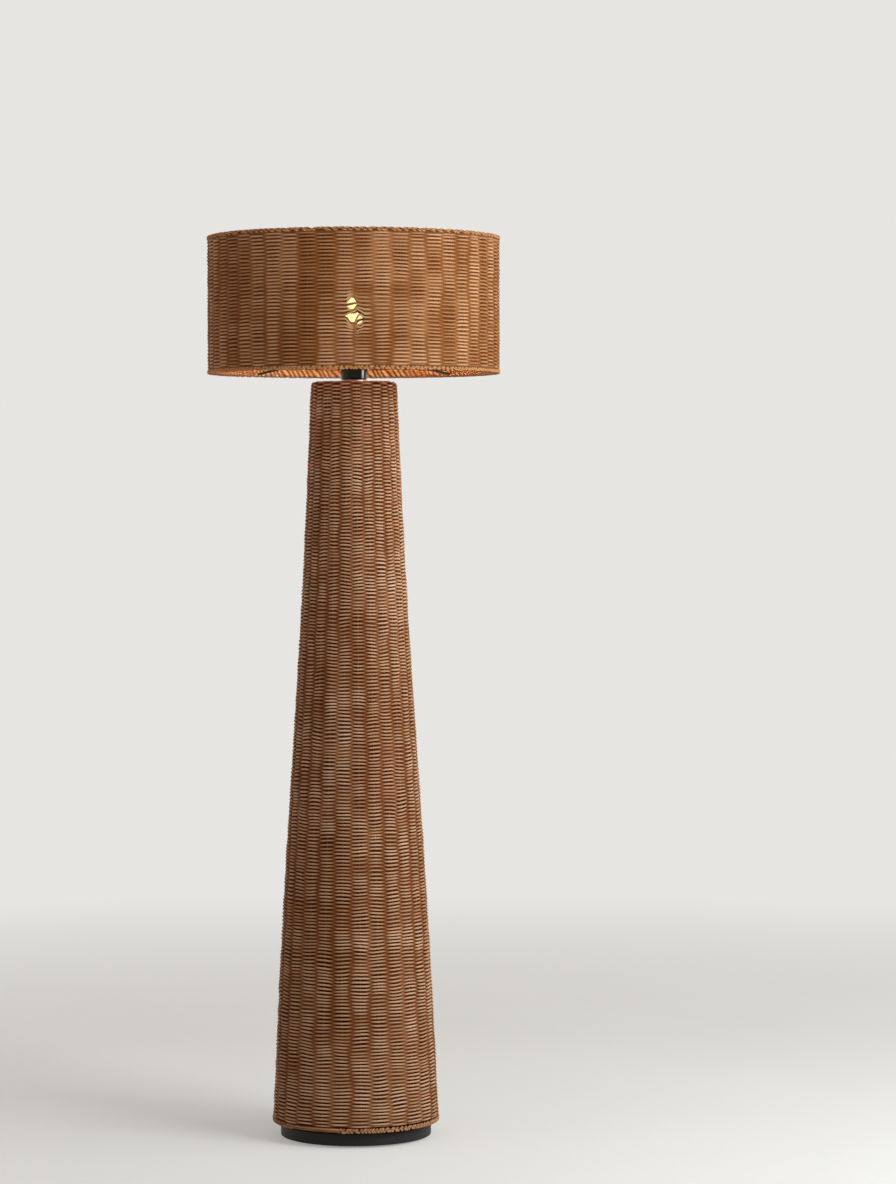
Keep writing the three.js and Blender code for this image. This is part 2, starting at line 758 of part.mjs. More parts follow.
function addShade() {
  const lowWire = shadeBottom + shadeBorderHeight - shadeWireRadius;
  const highWire = shadeTop - shadeBorderHeight + shadeWireRadius;
  const lowRing = wireRing(shadeWireCentre, lowWire, shadeWireRadius, roundSides);
  const highRing = wireRing(shadeWireCentre, highWire, shadeWireRadius, roundSides);
  add(shade, "shade_ring_bottom", lowRing, blackPaint);
  add(shade, "shade_ring_top", highRing, blackPaint);

  add(shade, "shade_fitter", sleeve(fitterBore, fitterRadius, fitterBottom, fitterTop), blackPaint);
  const armStart = new THREE.Vector3(fitterRadius + fitGap, 0, (fitterBottom + fitterTop) / 2);
  const ringCentre = new THREE.Vector3(shadeWireCentre, 0, lowWire);
  const slope = ringCentre.clone().sub(armStart).normalize();
  const armEnd = ringCentre.clone().addScaledVector(slope, -(shadeWireRadius + fitGap));
  armStart.x += armRadius * Math.abs(slope.z);
  crossAngles(Math.PI / 4).forEach((angle, i) => {
    const arm = wire(new THREE.LineCurve3(armStart, armEnd), armRadius, 1);
    add(shade, `shade_arm_${i + 1}`, arm.rotateZ(angle), blackPaint);
    const strutBottom = lowWire + shadeWireRadius + fitGap;
    const strutTop = highWire - shadeWireRadius - fitGap;
    const strut = rod(strutRadius, strutBottom, strutTop, wireSides);
    const mesh = add(shade, `shade_strut_${i + 1}`, strut, blackPaint);
    mesh.position.set(shadeWireCentre * Math.cos(angle), shadeWireCentre * Math.sin(angle), 0);
  });

  const weaveBottom = shadeBottom + shadeBorderHeight + fitGap;
  const weaveTop = shadeTop - shadeBorderHeight - fitGap;
  const weave = wovenWall(
    [
      [shadeRadius, weaveBottom, 1],
      [shadeRadius, weaveTop, 1],
      [shadeInnerRadius, weaveTop, 0],
      [shadeInnerRadius, weaveBottom, 0],
    ],
    shadeStakes,
    shadeFirstStake,
    shadeWall,
  );
  add(shade, "shade_weave", weave, lightRattan);

  // One border, its rounded edge up, and the other with it down
  const innerEdge = shadeInnerRadius + shadeBorderEdgeRadius;
  const outerEdge = shadeRadius - shadeBorderEdgeRadius;
  [["top", shadeTop, 1], ["bottom", shadeBottom, -1]].forEach(([place, edge, way]) => {
    const bendLevel = edge - way * shadeBorderEdgeRadius;
    const bend = (centre, from, to) =>
      arc(centre, 0, shadeBorderEdgeRadius, from, to, edgeSteps - 1).map(([r, z]) => [
        r,
        bendLevel + way * z,
      ]);
    const border = turned(
      [
        [shadeInnerRadius, edge - way * shadeBorderHeight],
        [shadeRadius, edge - way * shadeBorderHeight],
        ...bend(outerEdge, 0, Math.PI / 2),
        ...bend(innerEdge, Math.PI / 2, Math.PI),
      ],
      roundSides,
    );
    add(shade, `shade_border_${place}`, border, lightRattan);
  });

  const clampBottom = fitterTop + fitGap;
  const clampRing = sleeve(
    skirtRadius + fitGap, clampRingRadius, clampBottom, clampBottom + clampRingHeight,
  );
  add(holder, "clamp_ring", clampRing, blackResin);
}

addBase();
addStem();
addColumn();
addHolder();
addSwitch();
addBulb();
addShade();

export default lamp;
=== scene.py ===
# Rattan floor lamp: a woven column and drum shade on a black disc, with a lit bulb in a black holder.
import json
import math

import bmesh
import bpy
import numpy as np
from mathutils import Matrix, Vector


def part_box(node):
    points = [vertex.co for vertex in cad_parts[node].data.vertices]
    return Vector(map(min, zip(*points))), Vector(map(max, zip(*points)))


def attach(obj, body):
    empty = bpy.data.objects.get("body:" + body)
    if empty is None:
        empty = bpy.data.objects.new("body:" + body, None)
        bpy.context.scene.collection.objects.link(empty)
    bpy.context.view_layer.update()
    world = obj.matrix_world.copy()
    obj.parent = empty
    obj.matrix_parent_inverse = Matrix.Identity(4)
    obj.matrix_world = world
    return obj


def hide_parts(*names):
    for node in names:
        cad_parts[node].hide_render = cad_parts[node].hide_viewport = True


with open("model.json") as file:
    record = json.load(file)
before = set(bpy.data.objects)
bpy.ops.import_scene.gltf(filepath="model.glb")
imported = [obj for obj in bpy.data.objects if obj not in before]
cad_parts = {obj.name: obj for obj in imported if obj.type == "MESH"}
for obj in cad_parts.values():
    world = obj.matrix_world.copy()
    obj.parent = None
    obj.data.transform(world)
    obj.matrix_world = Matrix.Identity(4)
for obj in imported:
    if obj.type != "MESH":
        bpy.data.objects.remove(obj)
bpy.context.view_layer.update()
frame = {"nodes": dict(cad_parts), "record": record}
rng = np.random.default_rng(26)

# Sizes of the woven skins, in metres. The column's outline is the one that its solid follows.
COLUMN_TOP_RADIUS = 0.075
COLUMN_SWING = 0.035
COLUMN_SAG = 0.012
COLUMN_EDGE_RADIUS = 0.008
COLUMN_WALL = 0.009
COLUMN_STAKES = 26
COLUMN_FIRST_STAKE = math.radians(-86.5)
COLUMN_BANDS = 5
SHADE_WALL = 0.008
SHADE_STAKES = 50
SHADE_FIRST_STAKE = math.radians(-86.4)
SHADE_BANDS = 3
STRAND_RADIUS = 0.0018
ROW_PITCH = 0.00295
COLUMN_STAKE_RADIUS = 0.0012
SHADE_STAKE_RADIUS = 0.001
STRAND_SIDES = 6
STAKE_SIDES = 8
STRAND_LENGTH = 2.8

# Room between the strands and the faces of the solid wall
COLUMN_FACE_ROOM = 0.0003
SHADE_FACE_ROOM = 0.00015

# Wires of the shade's frame, and how far its rows rise above the lower ring
ARM_RADIUS = 0.002
STRUT_RADIUS = 0.0015
WIRE_SIDES = 16
LOWER_RISE = 0.0065

# Lamp holder and bulb: wall, crest of the skirt's thread, pitch of the bulb's thread, and the gap between
# pieces that turn or slide in each other
HOLDER_WALL = 0.003
SKIRT_CREST = 0.0199
CAP_PITCH = 0.00363
CLEARANCE = 0.0003

# The woven disc in the column's mouth
CAP_STAKES = 16
CAP_EYE = 0.012
CAP_SWING = 0.0022
CAP_SPOKE_RADIUS = 0.0013

# Plaits: points in each repeat, then the length of a repeat and the strand's radius on each rim. On a stretch
# of the column's rim, between two angles in degrees, the strands lie side by side and a little higher.
PLAIT_STEPS = 14
FOOT_PLAIT = (0.0165, 0.0019)
TOP_PLAIT = (0.034, 0.0016)
BOTTOM_PLAIT = (0.0175, 0.0018)
LAID_STRETCH = (-140, -102, 0.0012)
SEAM_CORD_RADIUS = 0.0021

# Peel wound round the shade's wire rings: its count of ridges, the least gap under it, and a ridge's rise
WINDINGS = 153
WINDING_GAP = 0.00005
WINDING_RISE = 0.0007

# Points of a strand between two stakes, as shares of the way, and how abruptly it crosses between them
COLUMN_STEPS = np.array([0.0, 0.24, 0.38, 0.5, 0.62, 0.76])
SHADE_STEPS = np.array([0.0, 0.12, 0.22, 0.32, 0.42, 0.5, 0.58, 0.68, 0.78, 0.88])
SQUARENESS = 1.25
SQUARENESS_SPREAD = 0.65

# How uneven a weave is from stake to stake: how far whole rows wander, rows off their level together and one
# by one, places where strands cross off the middle, looser strands, and strands that give at random
COLUMN_WANDER = 0.0011
SHADE_WANDER = 0.0009
PANEL_BEND = 0.0008
ROW_JITTER = 0.00018
CROSSING_SHIFT = 0.06
GAP_SLACK = 0.5
ROW_GIVE = 0.06

# Shortest and longest wave along the wall, in metres, of what is uneven from stake to stake: rows off their
# level, loose strands, crossings off the middle, tone, and the crossings' painted shade, width and abruptness
PANEL_WAVES = {
    "bend": (0.04, 0.12), "slack": (0.03, 0.12), "shift": (0.03, 0.15), "shade": (0.03, 1.2),
    "painted_shade": (0.1, 1.5), "width": (0.1, 1.5), "square": (0.08, 0.8),
}

# How much wider a strand is where it crosses another, and on the wall's inner side
CROSSING_SWELL = 0.07
INNER_SWELL = 0.28

# Tone of the strands: its least value, what it gains from length to length and from stake to stake (for each
# stake in the wall), and how much redder and darker a crossing is painted as shade, over a share of the way
TONE_LEAST = 0.3
TONE_SPREAD = 0.37
PANEL_TONE = 0.0112
CROSSING_TONE = 0.75
CROSSING_PAINTED_SHADE = 0.18
CROSSING_WIDTH = 0.15
CROSSING_WIDTH_SPREAD = 0.07

# Where the shade's rows stand apart in front of the bulb: height, angle, half of the width in degrees, gap.
# Then how far up and down they are pushed, and over what height a gap opens.
LOOSE_PLACES = [
    (1.4070, -90.6, 1.6, 0.0094), (1.3892, -90.4, 2.0, 0.0100), (1.3842, -87.9, 1.2, 0.0052),
    (1.3720, -88.9, 0.5, 0.0030),
]
LOOSE_REACH = 0.015
LOOSE_EDGE = 0.0015

# The photograph's view
PHOTO_HEIGHT_PX = 1184
FOCAL_PX = 3579
SENSOR_MM = 36
CAMERA_PLACE = (0.0, -6.11, 1.1073)
CAMERA_PITCH_DOWN = math.radians(1.66)
CAMERA_TURN_RIGHT = math.radians(1.5)
CAMERA_ROLL = math.radians(0.12)

# What the camera sees behind the lamp, the room's even light, and the floor: its two tones, its glow, its
# radius, and the distances between which it fades into the backdrop
BACKDROP = (0.80, 0.785, 0.765)
AMBIENT = (0.232, 0.216, 0.203)
FLOOR_TONES = [(0.70, 0.68, 0.65), (0.76, 0.745, 0.72)]
FLOOR_GLOW = 0.38
FLOOR_RADIUS = 9.0
FLOOR_FADE = (1.2, 3.6)

# Soft lights: azimuth (0 in front, 90 to the right), distance, height, height that they face, width,
# tallness, power and colour
SOFT_LIGHTS = {
    "window_side": (52, 2.6, 2.0, 1.2, 1.5, 1.5, 54, (0.91, 1.0, 1.0)),
    "pale_wall_side": (86, 2.6, 1.18, 1.2, 1.1, 0.2, 15, (0.93, 1.0, 1.0)),
    "room_side": (-70, 3.2, 1.3, 0.85, 2.2, 2.2, 4, (1.0, 0.93, 0.88)),
}
BULB_POWER = 78
BULB_COLOUR = (1.0, 0.67, 0.33)

# Bump distance and gloss of rattan, bump distance of metal, and how bright the dimmest part of a glow is
RATTAN_BUMP = 0.00012
RATTAN_GLOSS = 0.07
METAL_BUMP = 0.00002
DIM_GLOW = 0.82

# Rattan finishes: name, and the pale and deep colours, and the colour of the painted shade deep in the weave
RATTAN_FINISHES = {
    "rattan_column": ("stained_column_strand", (0.91, 0.605, 0.41), (0.455, 0.20, 0.072), (0.44, 0.23, 0.07)),
    "rattan_shade": ("honey_shade_strand", (0.775, 0.455, 0.263), (0.385, 0.147, 0.040), (0.64, 0.46, 0.26)),
    # The stakes are coloured darker than the strands: painted shade, as they show only in the weave's gaps
    "column_stake": ("dark_column_stake", (0.30, 0.14, 0.06), (0.15, 0.06, 0.03), (0.8, 0.75, 0.72)),
    "shade_stake": ("dark_shade_stake", (0.34, 0.16, 0.07), (0.18, 0.08, 0.035), (0.8, 0.75, 0.72)),
    "column_plait": ("column_plait_strand", (0.80, 0.43, 0.24), (0.34, 0.13, 0.05), (0.55, 0.42, 0.34)),
    "shade_plait": ("shade_plait_strand", (0.80, 0.43, 0.20), (0.42, 0.15, 0.04), (0.72, 0.60, 0.48)),
    "rim_peel": ("pale_rim_peel", (0.95, 0.71, 0.42), (0.50, 0.175, 0.07), (0.47, 0.28, 0.16)),
}

# Coats: name, main and rubbed colours, least and most roughness, scales of the fine and the broad pattern,
# bump distance, and sockets of the shader that aren't left at their default
COAT_FINISHES = {
    "base_paint": (
        "black_powder_coat", (0.027, 0.0245, 0.0245), (0.043, 0.040, 0.040), 0.42, 0.6, 1400, 22, 0.00005,
        {"Specular IOR Level": 0.15},
    ),
    "frame_paint": (
        "black_wire_paint", (0.016, 0.014, 0.013), (0.05, 0.045, 0.04), 0.3, 0.5, 1100, 40, 0.00004,
    ),
    "cast_weight": ("raw_casting", (0.13, 0.125, 0.12), (0.22, 0.2, 0.18), 0.7, 0.95, 420, 30, 0.0003),
    "rubber_black": (
        "moulded_rubber", (0.016, 0.016, 0.016), (0.05, 0.05, 0.048), 0.7, 0.95, 1800, 60, 0.00004,
    ),
    "holder_resin": (
        "black_holder_resin", (0.003, 0.0025, 0.002), (0.006, 0.005, 0.004), 0.07, 0.14, 700, 35, 0.000004,
        {"Specular IOR Level": 0.5, "Specular Tint": (0.45, 0.37, 0.3, 1.0)},
    ),
    "holder_porcelain": (
        "glazed_porcelain", (0.82, 0.80, 0.74), (0.74, 0.71, 0.64), 0.12, 0.25, 500, 60, 0.00003,
    ),
}

# Metals: name, bright and dull colours, least and most roughness, and scales of the streaks
METAL_FINISHES = {
    "steel": ("zinc_plated_steel", (0.62, 0.63, 0.65), (0.42, 0.43, 0.44), 0.25, 0.5, (300, 300, 2500)),
    "contact_brass": ("plain_brass", (0.78, 0.57, 0.25), (0.52, 0.36, 0.15), 0.22, 0.45, (300, 300, 2500)),
    "cap_nickel": ("nickel_plate", (0.75, 0.73, 0.69), (0.55, 0.53, 0.5), 0.14, 0.32, (200, 200, 3000)),
}

# What glows: name, own colour, colour and strength of the glow, roughness, and share of light let through
GLOWING_FINISHES = {
    "bulb_glass": ("frosted_warm_glass", (0.30, 0.24, 0.10), (1.0, 0.93, 0.45), 1.05, 0.35, 0.15),
    # The glass mount is given a glow: painted light from the filament.
    "bulb_mount_glass": ("glass_mount", (1.0, 0.95, 0.85), (1.0, 0.7, 0.35), 0.6, 0.08, 1.0),
    "filament": ("glowing_filament", (1.0, 0.8, 0.4), (1.0, 0.62, 0.24), 8.0, 0.5, 0.0),
}


# Placing and meshes


def node_range(node, axis):
    """Lowest and highest coordinate of a node along an axis, 0, 1 or 2."""
    low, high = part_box(node)
    return low[axis], high[axis]


def reach(node):
    """Distance of a round node's outermost points from the lamp's axis."""
    return node_range(node, 0)[1]


def levels(node):
    """Lowest and highest level of a node."""
    return node_range(node, 2)


def middle_of(node):
    """Level of a node's middle."""
    return sum(levels(node)) / 2


def seat(piece, body, slot, *replaced):
    """The piece rides on the body and stands for the replaced nodes, which are hidden. slot is not used."""
    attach(piece, body)
    if replaced:
        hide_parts(*replaced)
    return piece


def added(name, data):
    """Object that holds the data, linked to the scene."""
    made = bpy.data.objects.new(name, data)
    bpy.context.scene.collection.objects.link(made)
    return made


def grid_faces(rows, columns, closed_rows=False, closed_columns=False, flipped=False):
    """Quads between neighbouring points of a grid kept row by row, and from last to first where closed."""
    i = np.arange(rows if closed_rows else rows - 1)[:, None]
    j = np.arange(columns if closed_columns else columns - 1)[None, :]
    after_i, after_j = (i + 1) % rows, (j + 1) % columns
    corners = [i * columns + j, i * columns + after_j, after_i * columns + after_j, after_i * columns + j]
    if flipped:
        corners = [corners[0], *corners[:0:-1]]
    return np.stack(corners, axis=-1).reshape(-1, 4)


def mesh_piece(name, points, quads, material, attributes=(), sharp=None):
    """Object of the given points and four-cornered faces, shaded smooth.

    attributes holds (name, values) pairs with one value or one vector for each point. Points that coincide
    are merged when sharp is given, and edges that bend by more than that angle stay sharp.
    """
    points = np.asarray(points, np.float32).reshape(-1, 3)
    quads = np.asarray(quads, np.int32).reshape(-1, 4)
    mesh = bpy.data.meshes.new(name)
    mesh.vertices.add(len(points))
    mesh.vertices.foreach_set("co", points.ravel())
    mesh.loops.add(quads.size)
    mesh.loops.foreach_set("vertex_index", quads.ravel())
    mesh.polygons.add(len(quads))
    mesh.polygons.foreach_set("loop_start", np.arange(0, quads.size, 4, dtype=np.int32))
    mesh.update(calc_edges=True)
    for label, values in attributes:
        values = np.asarray(values, np.float32)
        vector = values.ndim == 2
        layer = mesh.attributes.new(label, "FLOAT_VECTOR" if vector else "FLOAT", "POINT")
        layer.data.foreach_set("vector" if vector else "value", values.ravel())
    if sharp is not None:
        weld(mesh)
    mesh.polygons.foreach_set("use_smooth", np.ones(len(mesh.polygons), bool))
    if sharp is not None:
        mesh.set_sharp_from_angle(angle=sharp)
    mesh.materials.append(material)
    return added(name, mesh)


def weld(mesh, distance=1e-6):
    """Merges points that coincide, so that seams and poles are closed and faces of no area are gone."""
    work = bmesh.new()
    work.from_mesh(mesh)
    bmesh.ops.remove_doubles(work, verts=work.verts, dist=distance)
    bmesh.ops.dissolve_degenerate(work, edges=work.edges, dist=distance)
    work.to_mesh(mesh)
    work.free()


def unit(vectors):
    return vectors / np.linalg.norm(vectors, axis=-1, keepdims=True)


def smooth_step(values, start, end):
    t = np.clip((values - start) / (end - start), 0.0, 1.0)
    return t * t * (3.0 - 2.0 * t)


def polar(radius, angle, height):
    """Points from cylinder coordinates round the lamp's axis."""
    return np.stack(np.broadcast_arrays(radius * np.cos(angle), radius * np.sin(angle), height), axis=-1)


# Tubes


def tube_points(centres, radii, facing, sides, closed=False):
    """Rings of points round many lines at once, as an array (lines, steps, sides, 3).

    The tangent is the difference of a line's neighbouring points. Side is the facing direction made square to
    the tangent, and up is tangent x side. Point = centre + radius * (cos(a) * side + sin(a) * up), for a from
    0 to 2 pi.
    """
    if closed:
        tangent = unit(np.roll(centres, -1, axis=1) - np.roll(centres, 1, axis=1))
    else:
        tangent = unit(np.gradient(centres, axis=1))
    side = facing - np.sum(facing * tangent, axis=-1, keepdims=True) * tangent
    side = unit(side)
    up = np.cross(tangent, side)
    angle = 2.0 * np.pi * np.arange(sides)[:, None] / sides
    ring = np.cos(angle) * side[:, :, None] + np.sin(angle) * up[:, :, None]
    return centres[:, :, None] + radii[:, :, None, None] * ring


def tube_faces(lines, steps, sides, closed=False):
    """Quads between neighbouring rings, and flat ends whose quads fan out from a ring's first point."""
    walls = grid_faces(steps, sides, closed_rows=closed, closed_columns=True)
    if not closed:
        first = np.arange(1, sides - 1, 2)
        fan = np.stack([np.zeros_like(first), first, first + 1, first + 2], axis=-1)
        walls = np.concatenate([walls, fan[:, ::-1], fan + (steps - 1) * sides])
    starts = np.arange(lines) * steps * sides
    return (walls[None] + starts[:, None, None]).reshape(-1, 4)


def tube_piece(name, centres, radii, facing, sides, material, closed=False, attributes=()):
    """Object made of round tubes along lines; centres is (lines, steps, 3) and radii (lines, steps)."""
    points = tube_points(centres, radii, facing, sides, closed)
    faces = tube_faces(len(centres), centres.shape[1], sides, closed)
    return mesh_piece(name, points, faces, material, attributes)


def strand_marks(length, sides, tone, recess):
    """Attributes of strands: the fibre's coordinates (length along it, cosine and sine of the angle round
    it), its tone from 0 to 1, and how deep each point lies in the weave, from 0 to 1, painted as shade."""
    angle = 2.0 * np.pi * np.arange(sides) / sides
    shape = length.shape + (sides,)
    along = np.broadcast_to(length[..., None], shape)
    fibre = np.stack([along, *np.broadcast_arrays(np.cos(angle) + 0 * along, np.sin(angle) + 0 * along)], -1)
    tone = np.broadcast_to(tone[..., None], shape)
    return [
        ("fibre", fibre.reshape(-1, 3)),
        ("tone", tone.ravel()),
        ("recess", np.broadcast_to(recess, shape).ravel()),
    ]


# Turned pieces


def rounded(corners, radii, steps=5):
    """Outline with its corners rounded: each corner becomes a curve between the points that lie at its radius
    along both edges, P = (1-t)^2 A + 2t(1-t) corner + t^2 B. The first and the last corner stay sharp."""
    corners = np.asarray(corners, float)
    line = [corners[:1]]
    t = np.linspace(0.0, 1.0, steps + 1)[:, None]
    for before, corner, after, radius in zip(corners, corners[1:], corners[2:], radii):
        if radius == 0:
            line.append(corner[None])
            continue
        a = corner + unit(before - corner) * radius
        b = corner + unit(after - corner) * radius
        line.append((1 - t) ** 2 * a + 2 * t * (1 - t) * corner + t ** 2 * b)
    line.append(corners[-1:])
    return np.concatenate(line)


def pin(radius, start, end):
    """Corners of a solid pin's outline, from the axis out and back."""
    return [(0, start), (radius, start), (radius, end), (0, end)]


def turned(name, outline, material, sides=96, shape=None, place=None, sharp=math.radians(32)):
    """Solid of revolution: the outline's points (radius, height) are carried round the axis.

    The outline closes on itself, or starts and ends on the axis, and runs so that the material lies on its
    left. shape(angle, radius, height) may give new radii, as for a thread or flutes, and place(points) moves
    the finished points.
    """
    outline = np.asarray(outline, float)
    on_axis = outline[0, 0] == 0 and outline[-1, 0] == 0
    if not on_axis:
        outline = np.concatenate([outline, outline[:1]])
    angle = 2.0 * np.pi * np.arange(sides)[:, None] / sides
    radius, height = outline[:, 0][None], outline[:, 1][None]
    if shape is not None:
        radius = shape(angle, radius, height)
    points = polar(radius, angle, height)
    if place is not None:
        points = place(points)
    quads = grid_faces(sides, len(outline), closed_rows=True, flipped=True)
    return mesh_piece(name, points, quads, material, sharp=sharp)


def to_the_back(level):
    """Turns a piece made round the upright axis so that its axis runs along +Y at the given level."""
    return lambda points: np.stack([points[..., 0], points[..., 2], level - points[..., 1]], axis=-1)


# Weave


def column_radius(z):
    """Outside radius of the column at a height: a straight taper, a full sine wave and half a sine wave."""
    bottom, top = levels("column_border")[0], levels("column_weave")[1]
    bottom_radius = reach("column_border")
    down = (top - z) / (top - bottom)
    bend = COLUMN_SWING * np.sin(2 * np.pi * down) + COLUMN_SAG * np.sin(np.pi * down)
    return COLUMN_TOP_RADIUS + (bottom_radius - COLUMN_TOP_RADIUS) * (down - bend)


def wall_line(radius, height):
    """Middle line of a woven wall, as a function of the length along it: (radius, height, outward normal).

    The normal is the tangent turned a quarter turn, so it points out of the lamp on an upright wall.
    """
    length = np.concatenate([[0.0], np.cumsum(np.hypot(np.diff(radius), np.diff(height)))])
    along_r, along_z = np.gradient(radius, length), np.gradient(height, length)
    scale = np.hypot(along_r, along_z)

    def at(s):
        s = np.clip(s, 0.0, length[-1])
        return (
            np.interp(s, length, radius),
            np.interp(s, length, height),
            np.interp(s, length, along_z / scale),
            np.interp(s, length, -along_r / scale),
        )

    return at, length[-1]


def column_wall():
    """The column's wall from its border up, round the top edge and in to the cap."""
    weave_low, top = levels("column_weave")
    edge = top - COLUMN_EDGE_RADIUS
    centre = column_radius(edge) - COLUMN_EDGE_RADIUS
    bend = COLUMN_EDGE_RADIUS - COLUMN_WALL / 2
    z = np.linspace(weave_low, edge, 400)
    turn = np.linspace(0.0, np.pi / 2, 24)[1:]
    lip_end = reach("column_cap") + STRAND_RADIUS
    lip = np.linspace(centre, lip_end, 8)[1:]
    radius = np.concatenate([column_radius(z) - COLUMN_WALL / 2, centre + bend * np.cos(turn), lip])
    height = np.concatenate([z, edge + bend * np.sin(turn), np.full(lip.shape, edge + bend)])
    return wall_line(radius, height)


def shade_wall():
    middle = reach("shade_weave") - SHADE_WALL / 2
    return wall_line(np.full(2, middle), np.array(levels("shade_weave")))


def cap_wall():
    """The woven disc in the column's mouth, from its rim in to the eye in its middle."""
    rim = reach("column_cap") - STRAND_RADIUS
    level = levels("column_cap")[1] - COLUMN_WALL / 2
    return wall_line(np.linspace(rim, CAP_EYE, 20), np.full(20, level))


def ripple(angle, s, size, seed):
    """How far the rows wander along the wall: a sum of sines whose angle counts are whole numbers, so that it
    closes round the wall, and whose lengths along the wall are long, so that rows stay side by side."""
    waves = np.random.default_rng(seed)
    total = np.zeros(np.broadcast(angle, s).shape)
    counts = [1, 2, 3, 5, 7, 9, 12, 16]
    for count in counts:
        reach = waves.uniform(0.09, 0.4)
        phase = waves.uniform(0, 2 * np.pi)
        lean = waves.choice([-1.0, 1.0])
        swell = np.sin(2 * np.pi * s / reach + waves.uniform(0, 2 * np.pi))
        total += np.sin(count * angle + lean * 2 * np.pi * s / (2.6 * reach) + phase) * swell
    return size * total / math.sqrt(len(counts) / 2)


def per_stake(along, spread, waves):
    """Random value at each stake that a strand passes, joined by straight lines."""
    first = int(np.floor(along.min()))
    knots = np.arange(first, int(np.ceil(along.max())) + 1)
    return np.interp(along, knots, waves.normal(0.0, spread, len(knots)).clip(-1.3 * spread, 1.3 * spread))


class Panels:
    """Uneven values of a woven wall. Each stake has its own slow wave along the wall's length s, a sum of
    sines whose lengths are drawn at random, scaled so that most values lie between -1 and 1."""

    def __init__(self, stakes, shortest, longest, waves):
        self.stakes = stakes
        self.counts = 2 * np.pi / waves.uniform(shortest, longest, (stakes, 3))
        self.phases = waves.uniform(0, 2 * np.pi, (stakes, 3))

    def at_stake(self, number, s):
        number = number % self.stakes
        waves = np.sin(self.counts[number] * s[..., None] + self.phases[number])
        return waves.sum(axis=-1) / 1.8

    def between(self, passed, s):
        """The wave of each stake, changed over to the next stake's where the strands cross."""
        number = np.floor(passed).astype(int)
        turn = smooth_step(passed - number, 0.22, 0.78)
        return (1 - turn) * self.at_stake(number, s) + turn * self.at_stake(number + 1, s)


def strand_tones(length, waves):
    """Each strand is pieced from lengths of core, and each length has a tone of its own from 0 to 1."""
    piece = (length / STRAND_LENGTH).astype(int)
    return waves.uniform(0.0, 1.0, piece.max() + 1)[piece]


def woven_rows(wall, stakes, first_stake, steps, swing, seed, wander, loosen=None):
    """Two strands that wind round the wall after each other, each over one stake and under the next.

    On strand w, after u turns, the angle is 2 pi u and the length along the wall (2u + w) pitches. The first
    and the last turn run on level along the wall's ends. A strand's distance from the wall's middle is
    swing * tanh(k cos(q)) / tanh(k), where q grows by pi from stake to stake, so that with an even count of
    stakes it passes each stake on the same side every turn. The other strand has the other sign. Panels and
    random values for each stake make both uneven, and strands are flattened where they cross, and thicker on
    the wall's inner side.
    """
    at, length = wall
    waves = np.random.default_rng(seed)
    panels = {label: Panels(stakes, *limits, waves) for label, limits in PANEL_WAVES.items()}
    span = length - 2 * STRAND_RADIUS
    turns = (span / ROW_PITCH - 1) / 2
    first, last = -stakes, int(round((turns + 1) * stakes))
    passed = (np.arange(first, last)[:, None] + steps).ravel()
    number = np.floor(passed).astype(int)
    share = passed - number
    u = passed / stakes
    angle = first_stake + 2 * np.pi * u
    centres, radii, facings, lengths, tones, depths, crossing_shades = [], [], [], [], [], [], []
    for w in (0, 1):
        place = np.clip((2 * u + w) * ROW_PITCH, 0.0, span)
        calm = smooth_step(np.minimum(place, span - place), 0.0, 0.05)
        drift = ripple(angle, place, wander, seed) + PANEL_BEND * panels["bend"].between(passed, place)
        s = STRAND_RADIUS + place + calm * (drift + per_stake(passed, ROW_JITTER, waves))
        if loosen is not None:
            s = s + loosen(angle, at(s)[1])

        side = 1.0 if w == 0 else -1.0
        shift = CROSSING_SHIFT * panels["shift"].at_stake(number, place) * 4 * share * (1 - share)
        square = SQUARENESS * (1 + SQUARENESS_SPREAD * panels["square"].between(passed, place).clip(-1, 1))
        wave = np.tanh(square * np.cos(np.pi * (passed + shift))) / np.tanh(square)
        slack = GAP_SLACK * (0.5 + 0.5 * panels["slack"].between(passed, place)).clip(0, 1)
        give = ROW_GIVE * np.abs(per_stake(passed, 1.0, waves)).clip(0, 2)
        depth = side * swing * wave * (1.0 - slack) * (1.0 - give)
        r, z, out_r, out_z = at(s)
        centres.append(polar(r + depth * out_r, angle, z + depth * out_z))
        facings.append(polar(out_r, angle, out_z))
        depths.append(depth)

        tuck = 0.25 + 0.75 * smooth_step(np.minimum(u - u[0], u[-1] - u), 0.0, 0.4)
        flattened = CROSSING_SWELL * np.exp(-(((share - 0.5) / 0.25) ** 2))
        inside = INNER_SWELL * (-depth / swing).clip(0, 1)
        swell = 1.0 + per_stake(passed / 3, 0.03, waves) + flattened + inside
        radii.append(STRAND_RADIUS * tuck * swell)

        steps_run = np.linalg.norm(np.diff(centres[-1], axis=0), axis=-1)
        run = np.concatenate([[0.0], np.cumsum(steps_run)])
        lengths.append(run)
        # Round each crossing the strands are painted darker and redder: painted shade where they dive into
        # the weave.
        width = CROSSING_WIDTH + CROSSING_WIDTH_SPREAD * panels["width"].at_stake(number, place)
        crossing = (0.5 + 0.8 * panels["painted_shade"].at_stake(number, place)).clip(0, 1)
        crossing = crossing * np.exp(-(((share + shift - 0.5) / width) ** 2))
        crossing_shades.append(CROSSING_PAINTED_SHADE * crossing)
        tone = TONE_LEAST + TONE_SPREAD * strand_tones(run, waves)
        tone = tone + PANEL_TONE * stakes * panels["shade"].between(passed, place)
        tones.append((tone - CROSSING_TONE * crossing).clip(0, 1))
    return [np.stack(x) for x in (centres, radii, facings, lengths, tones, depths, crossing_shades)]


